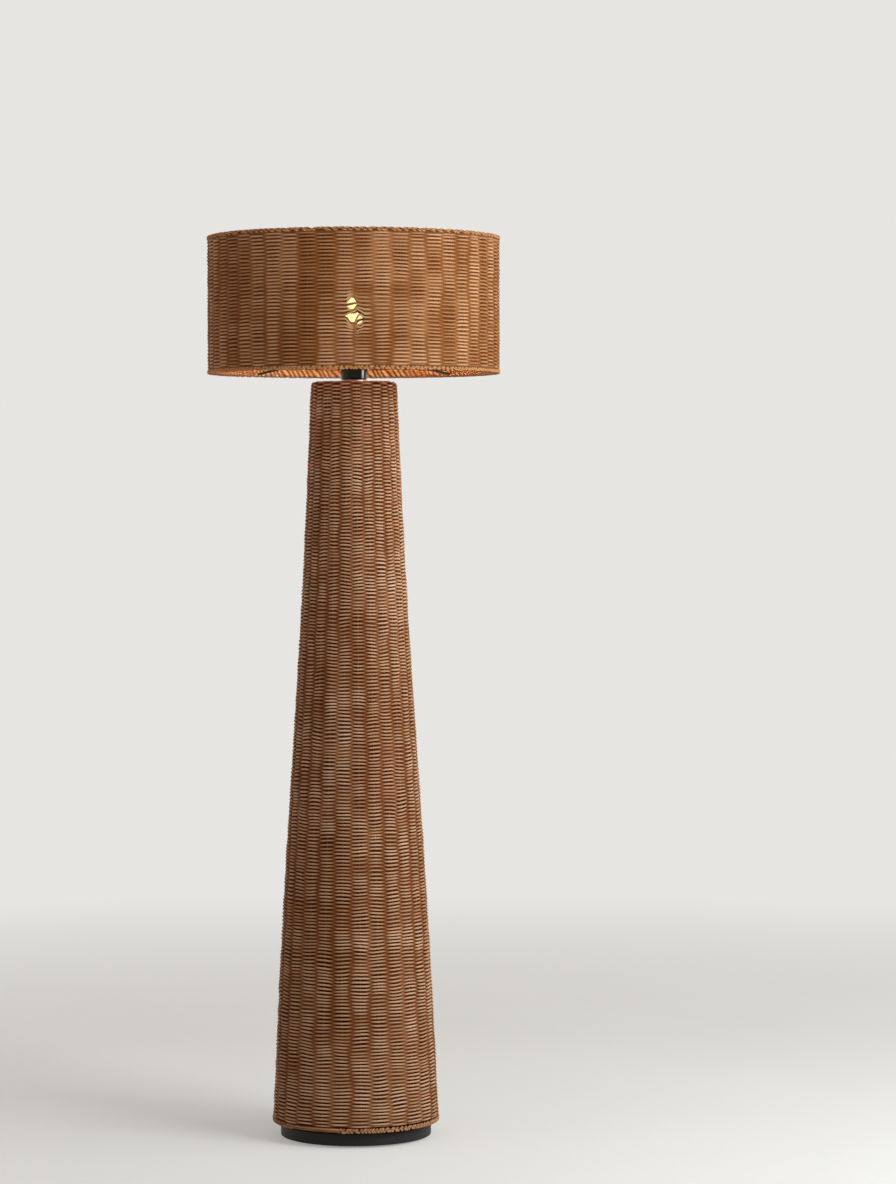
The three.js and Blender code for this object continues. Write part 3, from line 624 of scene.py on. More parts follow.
def weave_pieces(
    name, wall, thickness, stakes, first_stake, steps, swing, bands, seed, wander, material, loosen=None
):
    """The rows of a woven wall as one object for each band of it.

    Recess is how far a point lies behind the face of the wall that it looks to: with depth d of the strand's
    middle and angle a round it, the point stands d * cos(a) + radius towards that face. It is painted as
    shade.
    """
    centres, radii, facings, lengths, tones, depths, crossing_shades = woven_rows(
        wall, stakes, first_stake, steps, swing, seed, wander, loosen
    )
    angle = 2.0 * np.pi * np.arange(STRAND_SIDES) / STRAND_SIDES
    stand = depths[..., None] * np.cos(angle) + STRAND_RADIUS
    recess = smooth_step(0.5 - stand / thickness, 0.10, 0.52)
    # Crossings add painted shade on top of the depth's own.
    recess = 1 - (1 - recess) * (1 - crossing_shades[..., None])
    edges = np.linspace(0, centres.shape[1] - 1, bands + 1).astype(int)
    pieces = []
    for band, (start, end) in enumerate(zip(edges[:-1], edges[1:])):
        part = slice(start, end + 1)
        marks = strand_marks(lengths[:, part], STRAND_SIDES, tones[:, part], recess[:, part])
        label = f"{name}_{band + 1}" if bands > 1 else name
        pieces.append(
            tube_piece(
                label, centres[:, part], radii[:, part], facings[:, part], STRAND_SIDES, material,
                attributes=marks,
            )
        )
    return pieces


def stake_piece(name, wall, stakes, first_stake, radius, steps, material):
    """Upright rods that the rows are woven round, along the wall's middle line."""
    at, length = wall
    s = np.linspace(0.0, length, steps)[None]
    angle = first_stake + 2 * np.pi * np.arange(stakes)[:, None] / stakes
    r, z, out_r, out_z = at(np.broadcast_to(s, (stakes, steps)))
    centres = polar(r, angle, z)
    facing = polar(out_r, angle, out_z)
    radii = np.full((stakes, steps), radius)
    tone = np.broadcast_to(rng.uniform(0, 1, stakes)[:, None], (stakes, steps))
    # A fixed recess of 0.75 paints the stakes as shade deep in the weave.
    marks = strand_marks(np.broadcast_to(s, tone.shape) + angle, STAKE_SIDES, tone, np.array(0.75))
    return tube_piece(name, centres, radii, facing, STAKE_SIDES, material, attributes=marks)


def plait_piece(name, radius, level, half_width, half_height, repeat, strand, seed, material, laid=None):
    """Flat plait of three strands laid round a rim.

    With q growing by 2 pi over each repeat and the strands a third apart, a strand's height is
    half_height * sin(q) and its distance from the rim's middle half_width * sin(2 q), which takes it over one
    strand and under the next. Slow waves in q make some crossings tighter than others. laid holds the first
    and the last angle, in degrees, of a stretch where the strands lie side by side, and how much higher they
    lie there.
    """
    waves = np.random.default_rng(seed)
    repeats = int(round(2 * np.pi * radius / repeat))
    count = repeats * PLAIT_STEPS
    angle = 2 * np.pi * np.arange(count)[None] / count
    shift = 2 * np.pi * np.arange(3)[:, None] / 3
    q = repeats * angle + shift
    for turns, size in ((4, 0.5), (11, 0.35), (23, 0.3), (41, 0.2)):
        q = q + size * np.sin(turns * angle + waves.uniform(0, 2 * np.pi, (3, 1)))
    uneven = 1.0 + 0.12 * np.sin(17 * angle + 3 * shift) * np.sin(7 * angle)
    height = (half_height - 1.15 * strand) * np.sin(q) * uneven.clip(0.8, 1.0)
    depth = (half_width - 1.1 * strand) * np.sin(2 * q)
    if laid is not None:
        start, end, lift = laid
        turn = np.degrees(angle) - 360 * (np.degrees(angle) > 180)
        lain = smooth_step(turn, start - 2, start + 6) * (1 - smooth_step(turn, end - 1, end + 1))
        level_height = lift + 0.8 * (half_height - 1.15 * strand) * np.sin(shift + 0.4)
        level_depth = (half_width - 1.1 * strand) * (0.5 + 0.4 * np.cos(shift))
        height = height * (1 - lain) + lain * level_height
        depth = depth * (1 - lain) + lain * level_depth
    centres = polar(radius + depth, angle, level + height)
    facing = polar(np.ones_like(q), angle, np.zeros_like(q))
    run = 1.3 * radius * np.broadcast_to(angle, q.shape)
    tone = np.interp(run + 0.5 * shift, np.linspace(0, 3, 90), waves.uniform(0, 1, 90))
    sides = np.cos(2 * np.pi * np.arange(STRAND_SIDES) / STRAND_SIDES)
    # Painted shade: points deep in the plait are darkened by the material.
    recess = smooth_step(0.5 - (depth[..., None] * sides + strand) / (2 * half_width), 0.05, 0.5)
    radii = strand * (1.0 + 0.08 * np.sin(37 * angle + shift))
    marks = strand_marks(run, STRAND_SIDES, tone, recess)
    return tube_piece(name, centres, radii, facing, STRAND_SIDES, material, closed=True, attributes=marks)


def seam_cord(name, radius, level, material):
    """Round cane laid in the seam between a plait and the rows: a circle carried round the axis."""
    angle = 2 * np.pi * np.arange(240)[None] / 240
    centres = polar(np.full(angle.shape, radius), angle, np.full(angle.shape, level))
    facing = polar(np.ones_like(angle), angle, np.zeros_like(angle))
    radii = np.full(angle.shape, SEAM_CORD_RADIUS)
    # A fixed recess of 0.4 and the stake's dark finish paint the cord as shade in the seam.
    marks = strand_marks(1.3 * radius * angle, STAKE_SIDES, np.full(angle.shape, 0.3), 0.4)
    return tube_piece(name, centres, radii, facing, STAKE_SIDES, material, closed=True, attributes=marks)


# Materials


class Tree:
    """Adds nodes to a node tree. A value that is a socket is linked, and any other is set."""

    def __init__(self, tree):
        self.tree = tree

    def node(self, kind, inputs=(), **settings):
        made = self.tree.nodes.new(kind)
        for name, value in settings.items():
            setattr(made, name, value)
        for socket, value in dict(inputs).items():
            self.feed(made.inputs[socket], value)
        return made

    def feed(self, socket, value):
        if isinstance(value, bpy.types.NodeSocket):
            self.tree.links.new(value, socket)
        else:
            socket.default_value = value

    def math(self, operation, a, b=0.0, clamp=False):
        return self.node("ShaderNodeMath", {0: a, 1: b}, operation=operation, use_clamp=clamp).outputs[0]

    def weighted(self, *terms):
        """Sum of (value, weight) pairs."""
        parts = [self.math("MULTIPLY", value, weight) for value, weight in terms]
        total = parts[0]
        for part in parts[1:]:
            total = self.math("ADD", total, part)
        return total

    def between(self, low, high, share):
        """The value that lies the given share of the way from low to high."""
        return self.math("ADD", low, self.math("MULTIPLY", self.math("SUBTRACT", high, low), share))

    def range(self, value, low, high, to_low=0.0, to_high=1.0):
        inputs = {"Value": value, "From Min": low, "From Max": high, "To Min": to_low, "To Max": to_high}
        return self.node("ShaderNodeMapRange", inputs, clamp=True).outputs["Result"]

    def mix(self, factor, a, b, blend="MIX"):
        made = self.node("ShaderNodeMix", data_type="RGBA", blend_type=blend)
        colours = [s for s in made.inputs if s.type == "RGBA"]
        self.feed(made.inputs[0], factor)
        self.feed(colours[0], a)
        self.feed(colours[1], b)
        return next(s for s in made.outputs if s.type == "RGBA")

    def stretched(self, vector, scale):
        return self.node("ShaderNodeVectorMath", {0: vector, 1: scale}, operation="MULTIPLY").outputs[0]

    def noise(self, vector, scale=1.0, detail=2.0, roughness=0.5):
        inputs = {"Vector": vector, "Scale": scale, "Detail": detail, "Roughness": roughness}
        return self.node("ShaderNodeTexNoise", inputs).outputs[0]

    def place(self):
        return self.node("ShaderNodeTexCoord").outputs["Object"]


def rgba(colour):
    return (*colour, 1.0)


def new_material(name):
    """Material with an empty node tree, and the Tree that fills it."""
    material = bpy.data.materials.new(name)
    material.use_nodes = True
    material.node_tree.nodes.clear()
    return material, Tree(material.node_tree)


SOCKET_KINDS = {1: "NodeSocketFloat", 3: "NodeSocketVector", 4: "NodeSocketColor"}
SURFACE_OUTPUTS = {"Colour": 4, "Roughness": 1, "Height": 1}


def shader_group(name, inputs, pattern):
    """Shader node group with named inputs, each a number, a vector of 3 or a colour of 4 numbers.

    pattern(tree, given) adds its nodes and returns its colour, roughness and height.
    """
    group = bpy.data.node_groups.new(name, "ShaderNodeTree")
    for label, value in inputs.items():
        kind = SOCKET_KINDS[np.size(value)]
        socket = group.interface.new_socket(label, in_out="INPUT", socket_type=kind)
        socket.default_value = value
    for label, size in SURFACE_OUTPUTS.items():
        group.interface.new_socket(label, in_out="OUTPUT", socket_type=SOCKET_KINDS[size])
    tree = Tree(group)
    given, result = tree.node("NodeGroupInput").outputs, tree.node("NodeGroupOutput")
    for label, value in zip(SURFACE_OUTPUTS, pattern(tree, given)):
        tree.feed(result.inputs[label], value)
    return group


def rattan_core(tree, given):
    """Peeled rattan core: fibre streaks and short pores that run along the strand, broad patches where the
    stain took more or less, and painted shade, darker and redder, where a strand lies deep in the weave."""
    fibre = given["Fibre"]
    streak = tree.noise(tree.stretched(fibre, (60.0, 2.6, 2.6)), detail=3.0, roughness=0.6)
    patch = tree.noise(tree.stretched(fibre, (9.0, 0.5, 0.5)), detail=2.0)
    pore = tree.noise(tree.stretched(fibre, (260.0, 7.0, 7.0)), detail=1.0)
    pores = tree.range(pore, 0.60, 0.72)
    share = tree.weighted(
        (tree.range(streak, 0.30, 0.70), 0.25), (tree.range(patch, 0.32, 0.68), 0.15), (given["Tone"], 0.60)
    )
    colour = tree.mix(share, given["Deep"], given["Pale"])
    colour = tree.mix(tree.math("MULTIPLY", pores, 0.45), colour, given["Deep"])
    # Painted shade: the colour is multiplied towards the shade colour as the recess grows.
    painted_shade = tree.mix(given["Recess"], rgba((1, 1, 1)), given["PaintedShade"])
    painted_shade = tree.node("ShaderNodeGamma", {"Color": painted_shade, "Gamma": 2.5}).outputs[0]
    colour = tree.mix(1.0, colour, painted_shade, "MULTIPLY")
    height = tree.math("SUBTRACT", streak, tree.math("MULTIPLY", pores, 0.5))
    return colour, tree.range(streak, 0.3, 0.7, 0.55, 0.72), height


def coat(tree, given):
    """Sprayed, moulded or cast surface: fine pebbling, broad soft patches, and sparse rubbed spots."""
    fine = tree.noise(given["Place"], given["Fine"], detail=2.0)
    broad = tree.noise(given["Place"], given["Broad"], detail=4.0, roughness=0.6)
    rubbed = tree.math("MULTIPLY", tree.range(broad, 0.55, 0.75), tree.range(fine, 0.35, 0.65))
    colour = tree.mix(rubbed, given["Main"], given["Rubbed"])
    level = tree.weighted((tree.range(broad, 0.3, 0.7), 0.7), (fine, 0.3))
    return colour, tree.between(given["Smooth"], given["Rough"], level), fine


def metal(tree, given):
    """Drawn or turned metal: fine streaks along one direction, and a dull bloom in patches."""
    streak = tree.noise(tree.stretched(given["Place"], given["Streaks"]), detail=2.0)
    bloom = tree.noise(given["Place"], 70.0, detail=3.0, roughness=0.6)
    dull = tree.range(bloom, 0.45, 0.75)
    colour = tree.mix(dull, given["Bright"], given["Dull"])
    level = tree.weighted((dull, 0.6), (streak, 0.4))
    return colour, tree.between(given["Smooth"], given["Rough"], level), streak


def make_groups():
    """The patterns that more than one material uses, with the values that stand where none is given."""
    grey, pale_grey = (0.5, 0.5, 0.5, 1.0), (0.7, 0.7, 0.7, 1.0)
    rattan_inputs = {
        "Fibre": (0, 0, 0), "Tone": 0.5, "Recess": 0.0, "Pale": (0.6, 0.35, 0.17, 1.0),
        "Deep": (0.3, 0.13, 0.05, 1.0), "PaintedShade": (0.25, 0.13, 0.07, 1.0),
    }
    coat_inputs = {
        "Place": (0, 0, 0), "Fine": 900.0, "Broad": 18.0, "Main": grey, "Rubbed": pale_grey, "Smooth": 0.3,
        "Rough": 0.5,
    }
    metal_inputs = {
        "Place": (0, 0, 0), "Streaks": (200, 200, 2500), "Bright": pale_grey, "Dull": grey, "Smooth": 0.2,
        "Rough": 0.45,
    }
    return (
        shader_group("rattan_core", rattan_inputs, rattan_core),
        shader_group("coat", coat_inputs, coat),
        shader_group("metal", metal_inputs, metal),
    )


def surfaced(name, group, inputs, bump, settings=(), attributes=()):
    """Principled material whose colour, roughness and bump come from a group.

    attributes holds (group socket, attribute) pairs, and without them the group gets Object coordinates.
    """
    material, tree = new_material(name)
    surface = tree.node("ShaderNodeGroup", node_tree=group)
    for socket, value in inputs.items():
        surface.inputs[socket].default_value = value
    for socket, attribute in attributes:
        read = tree.node("ShaderNodeAttribute", attribute_name=attribute)
        vector = surface.inputs[socket].type == "VECTOR"
        tree.feed(surface.inputs[socket], read.outputs["Vector" if vector else "Fac"])
    if not attributes:
        tree.feed(surface.inputs["Place"], tree.place())
    height = {"Height": surface.outputs["Height"], "Distance": bump, "Strength": 1.0}
    sockets = {
        "Base Color": surface.outputs["Colour"],
        "Roughness": surface.outputs["Roughness"],
        "Normal": tree.node("ShaderNodeBump", height).outputs["Normal"],
    }
    shader = tree.node("ShaderNodeBsdfPrincipled", {**sockets, **dict(settings)})
    tree.node("ShaderNodeOutputMaterial", {"Surface": shader.outputs[0]})
    return material


def rattan_material(group, name, pale, deep, painted_shade):
    colours = {"Pale": rgba(pale), "Deep": rgba(deep), "PaintedShade": rgba(painted_shade)}
    attributes = [("Fibre", "fibre"), ("Tone", "tone"), ("Recess", "recess")]
    return surfaced(name, group, colours, RATTAN_BUMP, {"Specular IOR Level": RATTAN_GLOSS}, attributes)


def coat_material(group, name, main, rubbed, smooth, rough, fine, broad, bump, settings=()):
    inputs = {"Main": rgba(main), "Rubbed": rgba(rubbed), "Smooth": smooth, "Rough": rough}
    return surfaced(name, group, {**inputs, "Fine": fine, "Broad": broad}, bump, settings)


def metal_material(group, name, bright, dull, smooth, rough, streaks):
    inputs = {"Bright": rgba(bright), "Dull": rgba(dull), "Smooth": smooth, "Rough": rough}
    return surfaced(name, group, {**inputs, "Streaks": streaks}, METAL_BUMP, {"Metallic": 1.0})


def glowing_material(name, own, glow, strength, roughness, transmission):
    """Glass or wire that glows: its glow is a little uneven, as a frosted or coiled surface is."""
    material, tree = new_material(name)
    place = tree.place()
    cloud = tree.noise(place, 45.0, detail=3.0)
    frost = tree.noise(place, 1400.0, detail=1.0)
    dim = rgba([DIM_GLOW * c for c in glow])
    sockets = {
        "Base Color": rgba(own),
        "Roughness": tree.range(frost, 0.3, 0.7, 0.8 * roughness, 1.2 * roughness),
        "Transmission Weight": transmission,
        "Emission Color": tree.mix(tree.range(cloud, 0.3, 0.7), rgba(glow), dim),
        "Emission Strength": strength,
        "IOR": 1.5,
    }
    shader = tree.node("ShaderNodeBsdfPrincipled", sockets)
    tree.node("ShaderNodeOutputMaterial", {"Surface": shader.outputs[0]})
    return material


def make_materials():
    """One material for each slot, and those of the stakes and plaits, by name."""
    core_group, coat_group, metal_group = make_groups()
    made = {key: rattan_material(core_group, *values) for key, values in RATTAN_FINISHES.items()}
    made.update({key: coat_material(coat_group, *values) for key, values in COAT_FINISHES.items()})
    made.update({key: metal_material(metal_group, *values) for key, values in METAL_FINISHES.items()})
    made.update({key: glowing_material(*values) for key, values in GLOWING_FINISHES.items()})
    return made


def finish_cad_nodes(materials):
    """Every piece of the solid model that is still shown gets the finish of its slot."""
    for part in frame["record"]["subparts"]:
        data = frame["nodes"][part["node"]].data
        data.materials.clear()
        data.materials.append(materials[part["material_slot"]])


# Base


def fit(name, outline, body, slot, node, materials, **shaping):
    """Turned piece in its slot's finish, seated on its body in a node's place."""
    return seat(turned(name, outline, materials[slot], **shaping), body, slot, node)


def make_base(materials):
    radius = reach("base_cover")
    bottom, top = levels("base_cover")
    wall, bore, edge = 0.002, 0.0052, 0.0042
    corners = [
        (bore, top - wall), (radius - wall, top - wall), (radius - wall, bottom), (radius, bottom),
        (radius, top), (bore, top), (bore, top - wall),
    ]
    outline = rounded(corners, [edge - wall, 0.0005, 0.0007, edge, 0.0004], steps=7)[:-1]
    cover = turned("base_cover_shell", outline, materials["base_paint"], sides=160)
    flange, level = reach("cord_bush"), middle_of("cord_bush")
    start, end = node_range("cord_bush", 1)
    barrel, bore, face = flange - 0.003, flange - 0.005, end - 0.002
    pierced(cover, barrel + CLEARANCE, radius - 2 * wall, radius + wall, level)
    seat(cover, "lamp_stand", "base_paint", "base_cover")

    corners = [
        (bore, start), (barrel, start), (barrel, face), (flange, face), (flange, end), (bore, end),
        (bore, start),
    ]
    outline = rounded(corners, [0.0006, 0.0002, 0.0003, 0.0012, 0.0008])[:-1]
    fit(
        "cord_bush_moulding", outline, "lamp_stand", "rubber_black", "cord_bush", materials, sides=48,
        place=to_the_back(level),
    )

    outline = rounded(pin(reach("base_bottom_plate"), *levels("base_bottom_plate")), [0.0007, 0.0004])
    fit("base_bottom_disc", outline, "lamp_stand", "base_paint", "base_bottom_plate", materials, sides=160)

    for number in range(1, 5):
        make_foot(f"foot_{number}", materials)


def make_foot(node, materials):
    """Rubber pad with a soft rim and two shallow rings moulded into its underside."""
    low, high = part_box(node)
    centre, radius = (low + high) / 2, (high.x - low.x) / 2
    width, slope, depth = 0.002, 0.0004, 0.0006
    corners = [(0, low.z)]
    for ring in (0.003, 0.007):
        corners += [
            (ring, low.z), (ring + slope, low.z + depth), (ring + width - slope, low.z + depth),
            (ring + width, low.z),
        ]
    corners += [(radius, low.z), (radius, high.z), (0, high.z)]
    outline = rounded(corners, [0] * 8 + [0.0009, 0.0002])
    shift = np.array([centre.x, centre.y, 0.0])
    fit(
        f"{node}_pad", outline, "lamp_stand", "rubber_black", node, materials, sides=48,
        place=lambda points: points + shift,
    )


def pierced(piece, radius, start, end, level):
    """Cuts a round hole through the piece along Y, at the given level on the lamp's centre plane."""
    outline = pin(radius, start, end)
    drill = turned("drill", outline, piece.data.materials[0], sides=40, place=to_the_back(level))
    hole = piece.modifiers.new("hole", "BOOLEAN")
    hole.operation = "DIFFERENCE"
    hole.object = drill
    graph = bpy.context.evaluated_depsgraph_get()
    cut = bpy.data.meshes.new_from_object(piece.evaluated_get(graph))
    piece.modifiers.clear()
    piece.data = cut
    bpy.data.objects.remove(drill)


# Woven pieces


def make_column(materials):
    rows, stake = materials["rattan_column"], materials["column_stake"]
    wall = column_wall()
    swing = COLUMN_WALL / 2 - STRAND_RADIUS - COLUMN_FACE_ROOM
    pieces = weave_pieces(
        "column_rows", wall, COLUMN_WALL, COLUMN_STAKES, COLUMN_FIRST_STAKE, COLUMN_STEPS, swing,
        bands=COLUMN_BANDS, seed=11, wander=COLUMN_WANDER, material=rows,
    )
    stakes = stake_piece(
        "column_stakes", wall, COLUMN_STAKES, COLUMN_FIRST_STAKE, COLUMN_STAKE_RADIUS, steps=90,
        material=stake,
    )
    for piece in [*pieces, stakes]:
        seat(piece, "lamp_stand", "rattan_column", "column_weave")

    low, high = levels("column_border")
    level = (low + high) / 2
    plait = plait_piece(
        "column_foot_plait", column_radius(level) - COLUMN_WALL / 2, level, COLUMN_WALL / 2,
        (high - low) / 2, *FOOT_PLAIT, seed=5, material=materials["column_plait"], laid=LAID_STRETCH,
    )
    seat(plait, "lamp_stand", "rattan_column", "column_border")

    cap = cap_wall()
    pieces = weave_pieces(
        "column_cap_rows", cap, COLUMN_WALL, CAP_STAKES, COLUMN_FIRST_STAKE, COLUMN_STEPS, CAP_SWING,
        bands=1, seed=3, wander=0.0, material=rows,
    )
    spokes = stake_piece(
        "column_cap_spokes", cap, CAP_STAKES, COLUMN_FIRST_STAKE, CAP_SPOKE_RADIUS, steps=24, material=stake
    )
    for piece in [*pieces, spokes]:
        seat(piece, "lamp_stand", "rattan_column", "column_cap")


def loosened(angle, height):
    """Rows pushed apart at the loose places, up above each and down below it: gap * tanh(distance / edge)
    times a flat-topped bell, exp(-t^4), round the wall and a bell, exp(-d^2), along it."""
    push = np.zeros_like(height)
    for level, middle, half_width, gap in LOOSE_PLACES:
        turn = (np.degrees(angle) - middle + 180) % 360 - 180
        away = height - level
        bell = np.exp(-((turn / half_width) ** 4) - (away / LOOSE_REACH) ** 2)
        push += gap * np.tanh(away / LOOSE_EDGE) * bell
    return push


def make_shade(materials):
    wall = shade_wall()
    swing = SHADE_WALL / 2 - STRAND_RADIUS - SHADE_FACE_ROOM
    pieces = weave_pieces(
        "shade_rows", wall, SHADE_WALL, SHADE_STAKES, SHADE_FIRST_STAKE, SHADE_STEPS, swing,
        bands=SHADE_BANDS, seed=17, wander=SHADE_WANDER, material=materials["rattan_shade"],
        loosen=loosened,
    )
    stakes = stake_piece(
        "shade_stakes", wall, SHADE_STAKES, SHADE_FIRST_STAKE, SHADE_STAKE_RADIUS, steps=24,
        material=materials["shade_stake"],
    )
    for piece in [*pieces, stakes]:
        seat(piece, "shade_drum", "rattan_shade", "shade_weave")

    for place, seed, plait in (("top", 8, TOP_PLAIT), ("bottom", 9, BOTTOM_PLAIT)):
        node = f"shade_border_{place}"
        low, high = levels(node)
        middle = reach(node) - SHADE_WALL / 2
        rim = plait_piece(
            f"shade_{place}_plait", middle, (low + high) / 2, SHADE_WALL / 2, (high - low) / 2, *plait,
            seed=seed, material=materials["shade_plait"],
        )
        seat(rim, "shade_drum", "rattan_shade", node)
        seam = low if place == "top" else high
        cord = seam_cord(f"shade_{place}_seam_cord", middle, seam, materials["shade_stake"])
        seat(cord, "shade_drum", "rattan_shade")


# Shade frame


def ring_wire(name, node, material):
    """Wire bent into a ring: a circle carried round the axis at the node's place."""
    low, high = levels(node)
    radius = (high - low) / 2
    turn = 2 * np.pi * np.arange(20) / 20
    outline = np.stack(
        [reach(node) - radius + radius * np.cos(turn), (low + high) / 2 + radius * np.sin(turn)], axis=-1
    )
    return turned(name, outline, material, sides=180, sharp=math.radians(60))


def binding(name, node, rise, material):
    """Two rattan peels wound round the whole length of a wire ring and the rows that rise above it.

    The section is a half circle under the wire, two upright sides and a half circle at the top. With a the
    angle round the lamp and t the share of the way round the section, a point stands clear of it by
    gap + rise * |cos(x / 2)| ^ 0.9 with x = windings * a + 4 pi t, so that the windings show as slanting
    ridges. Slow waves in x make some windings wider than others. Over a part of the ring's back the peel is
    painted paler, a painted light, and redder elsewhere, and the grooves between windings get painted shade.
    """
    low, high = levels(node)
    wire = (high - low) / 2
    middle = reach(node) - wire
    bend = np.linspace(0.0, np.pi, 8)
    side = np.linspace(0.0, 1.0, 6)[1:-1]
    facing = np.concatenate([bend - np.pi, np.zeros(4), bend, np.full(4, np.pi)])
    lift = np.concatenate([np.zeros(8), side, np.ones(8), 1 - side]) * rise
    section = np.stack([wire * np.cos(facing), wire * np.sin(facing) + lift], axis=-1)
    strides = np.linalg.norm(np.roll(section, -1, axis=0) - section, axis=-1)
    t = ((np.cumsum(strides) - strides) / strides.sum())[None]
    count = WINDINGS * 8
    a = 2 * np.pi * np.arange(count)[:, None] / count
    slow = 0.8 * np.sin(31 * a + 1.0) + 0.7 * np.sin(47 * a + 4.0) + 0.5 * np.sin(13 * a)
    wound = WINDINGS * a + slow + 4 * np.pi * t
    clear = WINDING_GAP + WINDING_RISE * np.abs(np.cos(wound / 2)) ** 0.9
    out = section[:, 0] + clear * np.cos(facing)
    up = section[:, 1] + clear * np.sin(facing)
    points = polar(middle + out, a, (low + high) / 2 + up)
    quads = grid_faces(count, len(facing), closed_rows=True, closed_columns=True, flipped=True)
    winding = np.floor((wound + np.pi) / (2 * np.pi))
    fibre = np.stack([0.03 * t + 0.03 * winding, winding, 40 * a + 0 * winding], axis=-1)
    turn = 90 - np.degrees(a)
    turn = turn + 360 * (turn < -180)
    # Painted light: a stretch of the ring's back is painted paler; elsewhere tone 0 makes the peel deep red.
    pale = smooth_step(turn, -50, -42) * (1 - smooth_step(turn, 19, 27))
    tone = pale * (0.55 + 0.45 * np.sin(2.7 * winding) * np.sin(0.31 * winding))
    # Painted shade in the grooves between windings, deeper on the painted-light stretch.
    recess = (0.5 + 0.4 * pale) * (1 - (clear - WINDING_GAP) / WINDING_RISE)
    marks = [("fibre", fibre.reshape(-1, 3)), ("tone", tone.ravel()), ("recess", recess.ravel())]
    return mesh_piece(name, points, quads, material, marks)


def straight_wire(name, start, end, radius, material):
    """Straight round wire whose ends are domed: the radius follows a quarter circle over its own length."""
    length = np.linalg.norm(end - start)
    turn = np.linspace(0.0, np.pi / 2, 6)[1:]
    away = radius * (1 - np.cos(turn))
    middle = np.linspace(radius, length - radius, 14)[1:-1]
    place = np.concatenate([away, middle, length - away[::-1]])
    swell = np.concatenate([np.sin(turn), np.ones(len(middle)), np.sin(turn)[::-1]])
    centres = start + place[:, None] / length * (end - start)
    across = np.broadcast_to(np.array([1.0, -0.2, 0.5]), centres.shape)
    return tube_piece(name, centres[None], (radius * swell)[None], across[None], WIRE_SIDES, material)


def make_shade_frame(materials):
    paint = materials["frame_paint"]
    for place, rise in (("top", 0.0), ("bottom", LOWER_RISE)):
        node = f"shade_ring_{place}"
        seat(ring_wire(f"shade_wire_{place}", node, paint), "shade_drum", "frame_paint", node)
        wound = binding(f"shade_wire_{place}_binding", node, rise, materials["rim_peel"])
        seat(wound, "shade_drum", "rattan_shade")
    low, high = levels("shade_ring_bottom")
    wire, ring_level = (high - low) / 2, (low + high) / 2
    ring_radius = reach("shade_ring_bottom") - wire

    low, high = levels("shade_fitter")
    bore, outer = 0.0205, reach("shade_fitter")
    corners = [(bore, low), (outer, low), (outer, high), (bore, high), (bore, low)]
    outline = rounded(corners, [0.0008] * 3)[:-1]
    fit(
        "shade_fitter_ring", outline, "shade_drum", "frame_paint", "shade_fitter", materials, sides=120
    )

    for number in range(1, 5):
        angle = math.pi / 4 + (number - 1) * math.pi / 2
        out = np.array([math.cos(angle), math.sin(angle), 0.0])
        start = out * (outer - 0.0005) + [0, 0, (low + high) / 2]
        end = out * (ring_radius - wire) + [0, 0, ring_level]
        arm = straight_wire(f"shade_arm_wire_{number}", start, end, ARM_RADIUS, paint)
        seat(arm, "shade_drum", "frame_paint", f"shade_arm_{number}")
        foot = out * ring_radius + [0, 0, ring_level + wire]
        head = out * ring_radius + [0, 0, middle_of("shade_ring_top") - wire]
        strut = straight_wire(f"shade_strut_wire_{number}", foot, head, STRUT_RADIUS, paint)
        seat(strut, "shade_drum", "frame_paint", f"shade_strut_{number}")


# Lamp holder and switch


def thread(crest, depth, pitch, start, end):
    """Screw thread as a change of radius: on points at the crest radius and between start and end it is
    -depth * (1 - cos(2 pi z / pitch - angle)) / 2, faded out over one pitch at both ends."""

    def shape(angle, radius, height):
        fade = smooth_step(height, start, start + pitch) * (1 - smooth_step(height, end - pitch, end))
        wave = (1 - np.cos(2 * np.pi * height / pitch - angle)) / 2
        on_crest = np.isclose(radius, crest, atol=1e-6)
        return radius - on_crest * depth * fade * wave

    return shape


def finely(start, end, step=0.0003):
    """Points up an outline's upright stretch, close enough together to carry a thread."""
    count = int(abs(end[1] - start[1]) / step) + 1
    return [tuple(p) for p in np.linspace(start, end, count)]


def make_holder(materials):
    make_dome(materials)
    make_skirt(materials)
    make_clamp_ring(materials)


def make_dome(materials):
    """Dome of the holder: its side tapers a little downwards, and a recess below takes the column's nut."""
    radius = reach("holder_dome")
    bottom, top = levels("holder_dome")
    taper, taper_height = 0.0009, 0.018
    bore, recess, seat_radius = radius - HOLDER_WALL, 0.012, 0.0052
    recess_top, floor_top = bottom + 0.008, bottom + 0.012
    corners = [
        (recess, bottom), (radius - taper, bottom), (radius, bottom + taper_height), (radius, top),
        (bore, top), (bore, floor_top), (seat_radius, floor_top), (seat_radius, recess_top),
        (recess, recess_top), (recess, bottom),
    ]
    outline = rounded(corners, [0.0015, 0.002, 0.0005, 0.0003, 0.001, 0, 0, 0.0005], steps=8)[:-1]
    dome = turned("holder_dome_shell", outline, materials["holder_resin"], sides=120)
    drill_radius, past = reach("switch_shaft") + CLEARANCE, 0.002
    pierced(dome, drill_radius, bore - past, radius + past, middle_of("switch_shaft"))
    seat(dome, "lamp_stand", "holder_resin", "holder_dome")


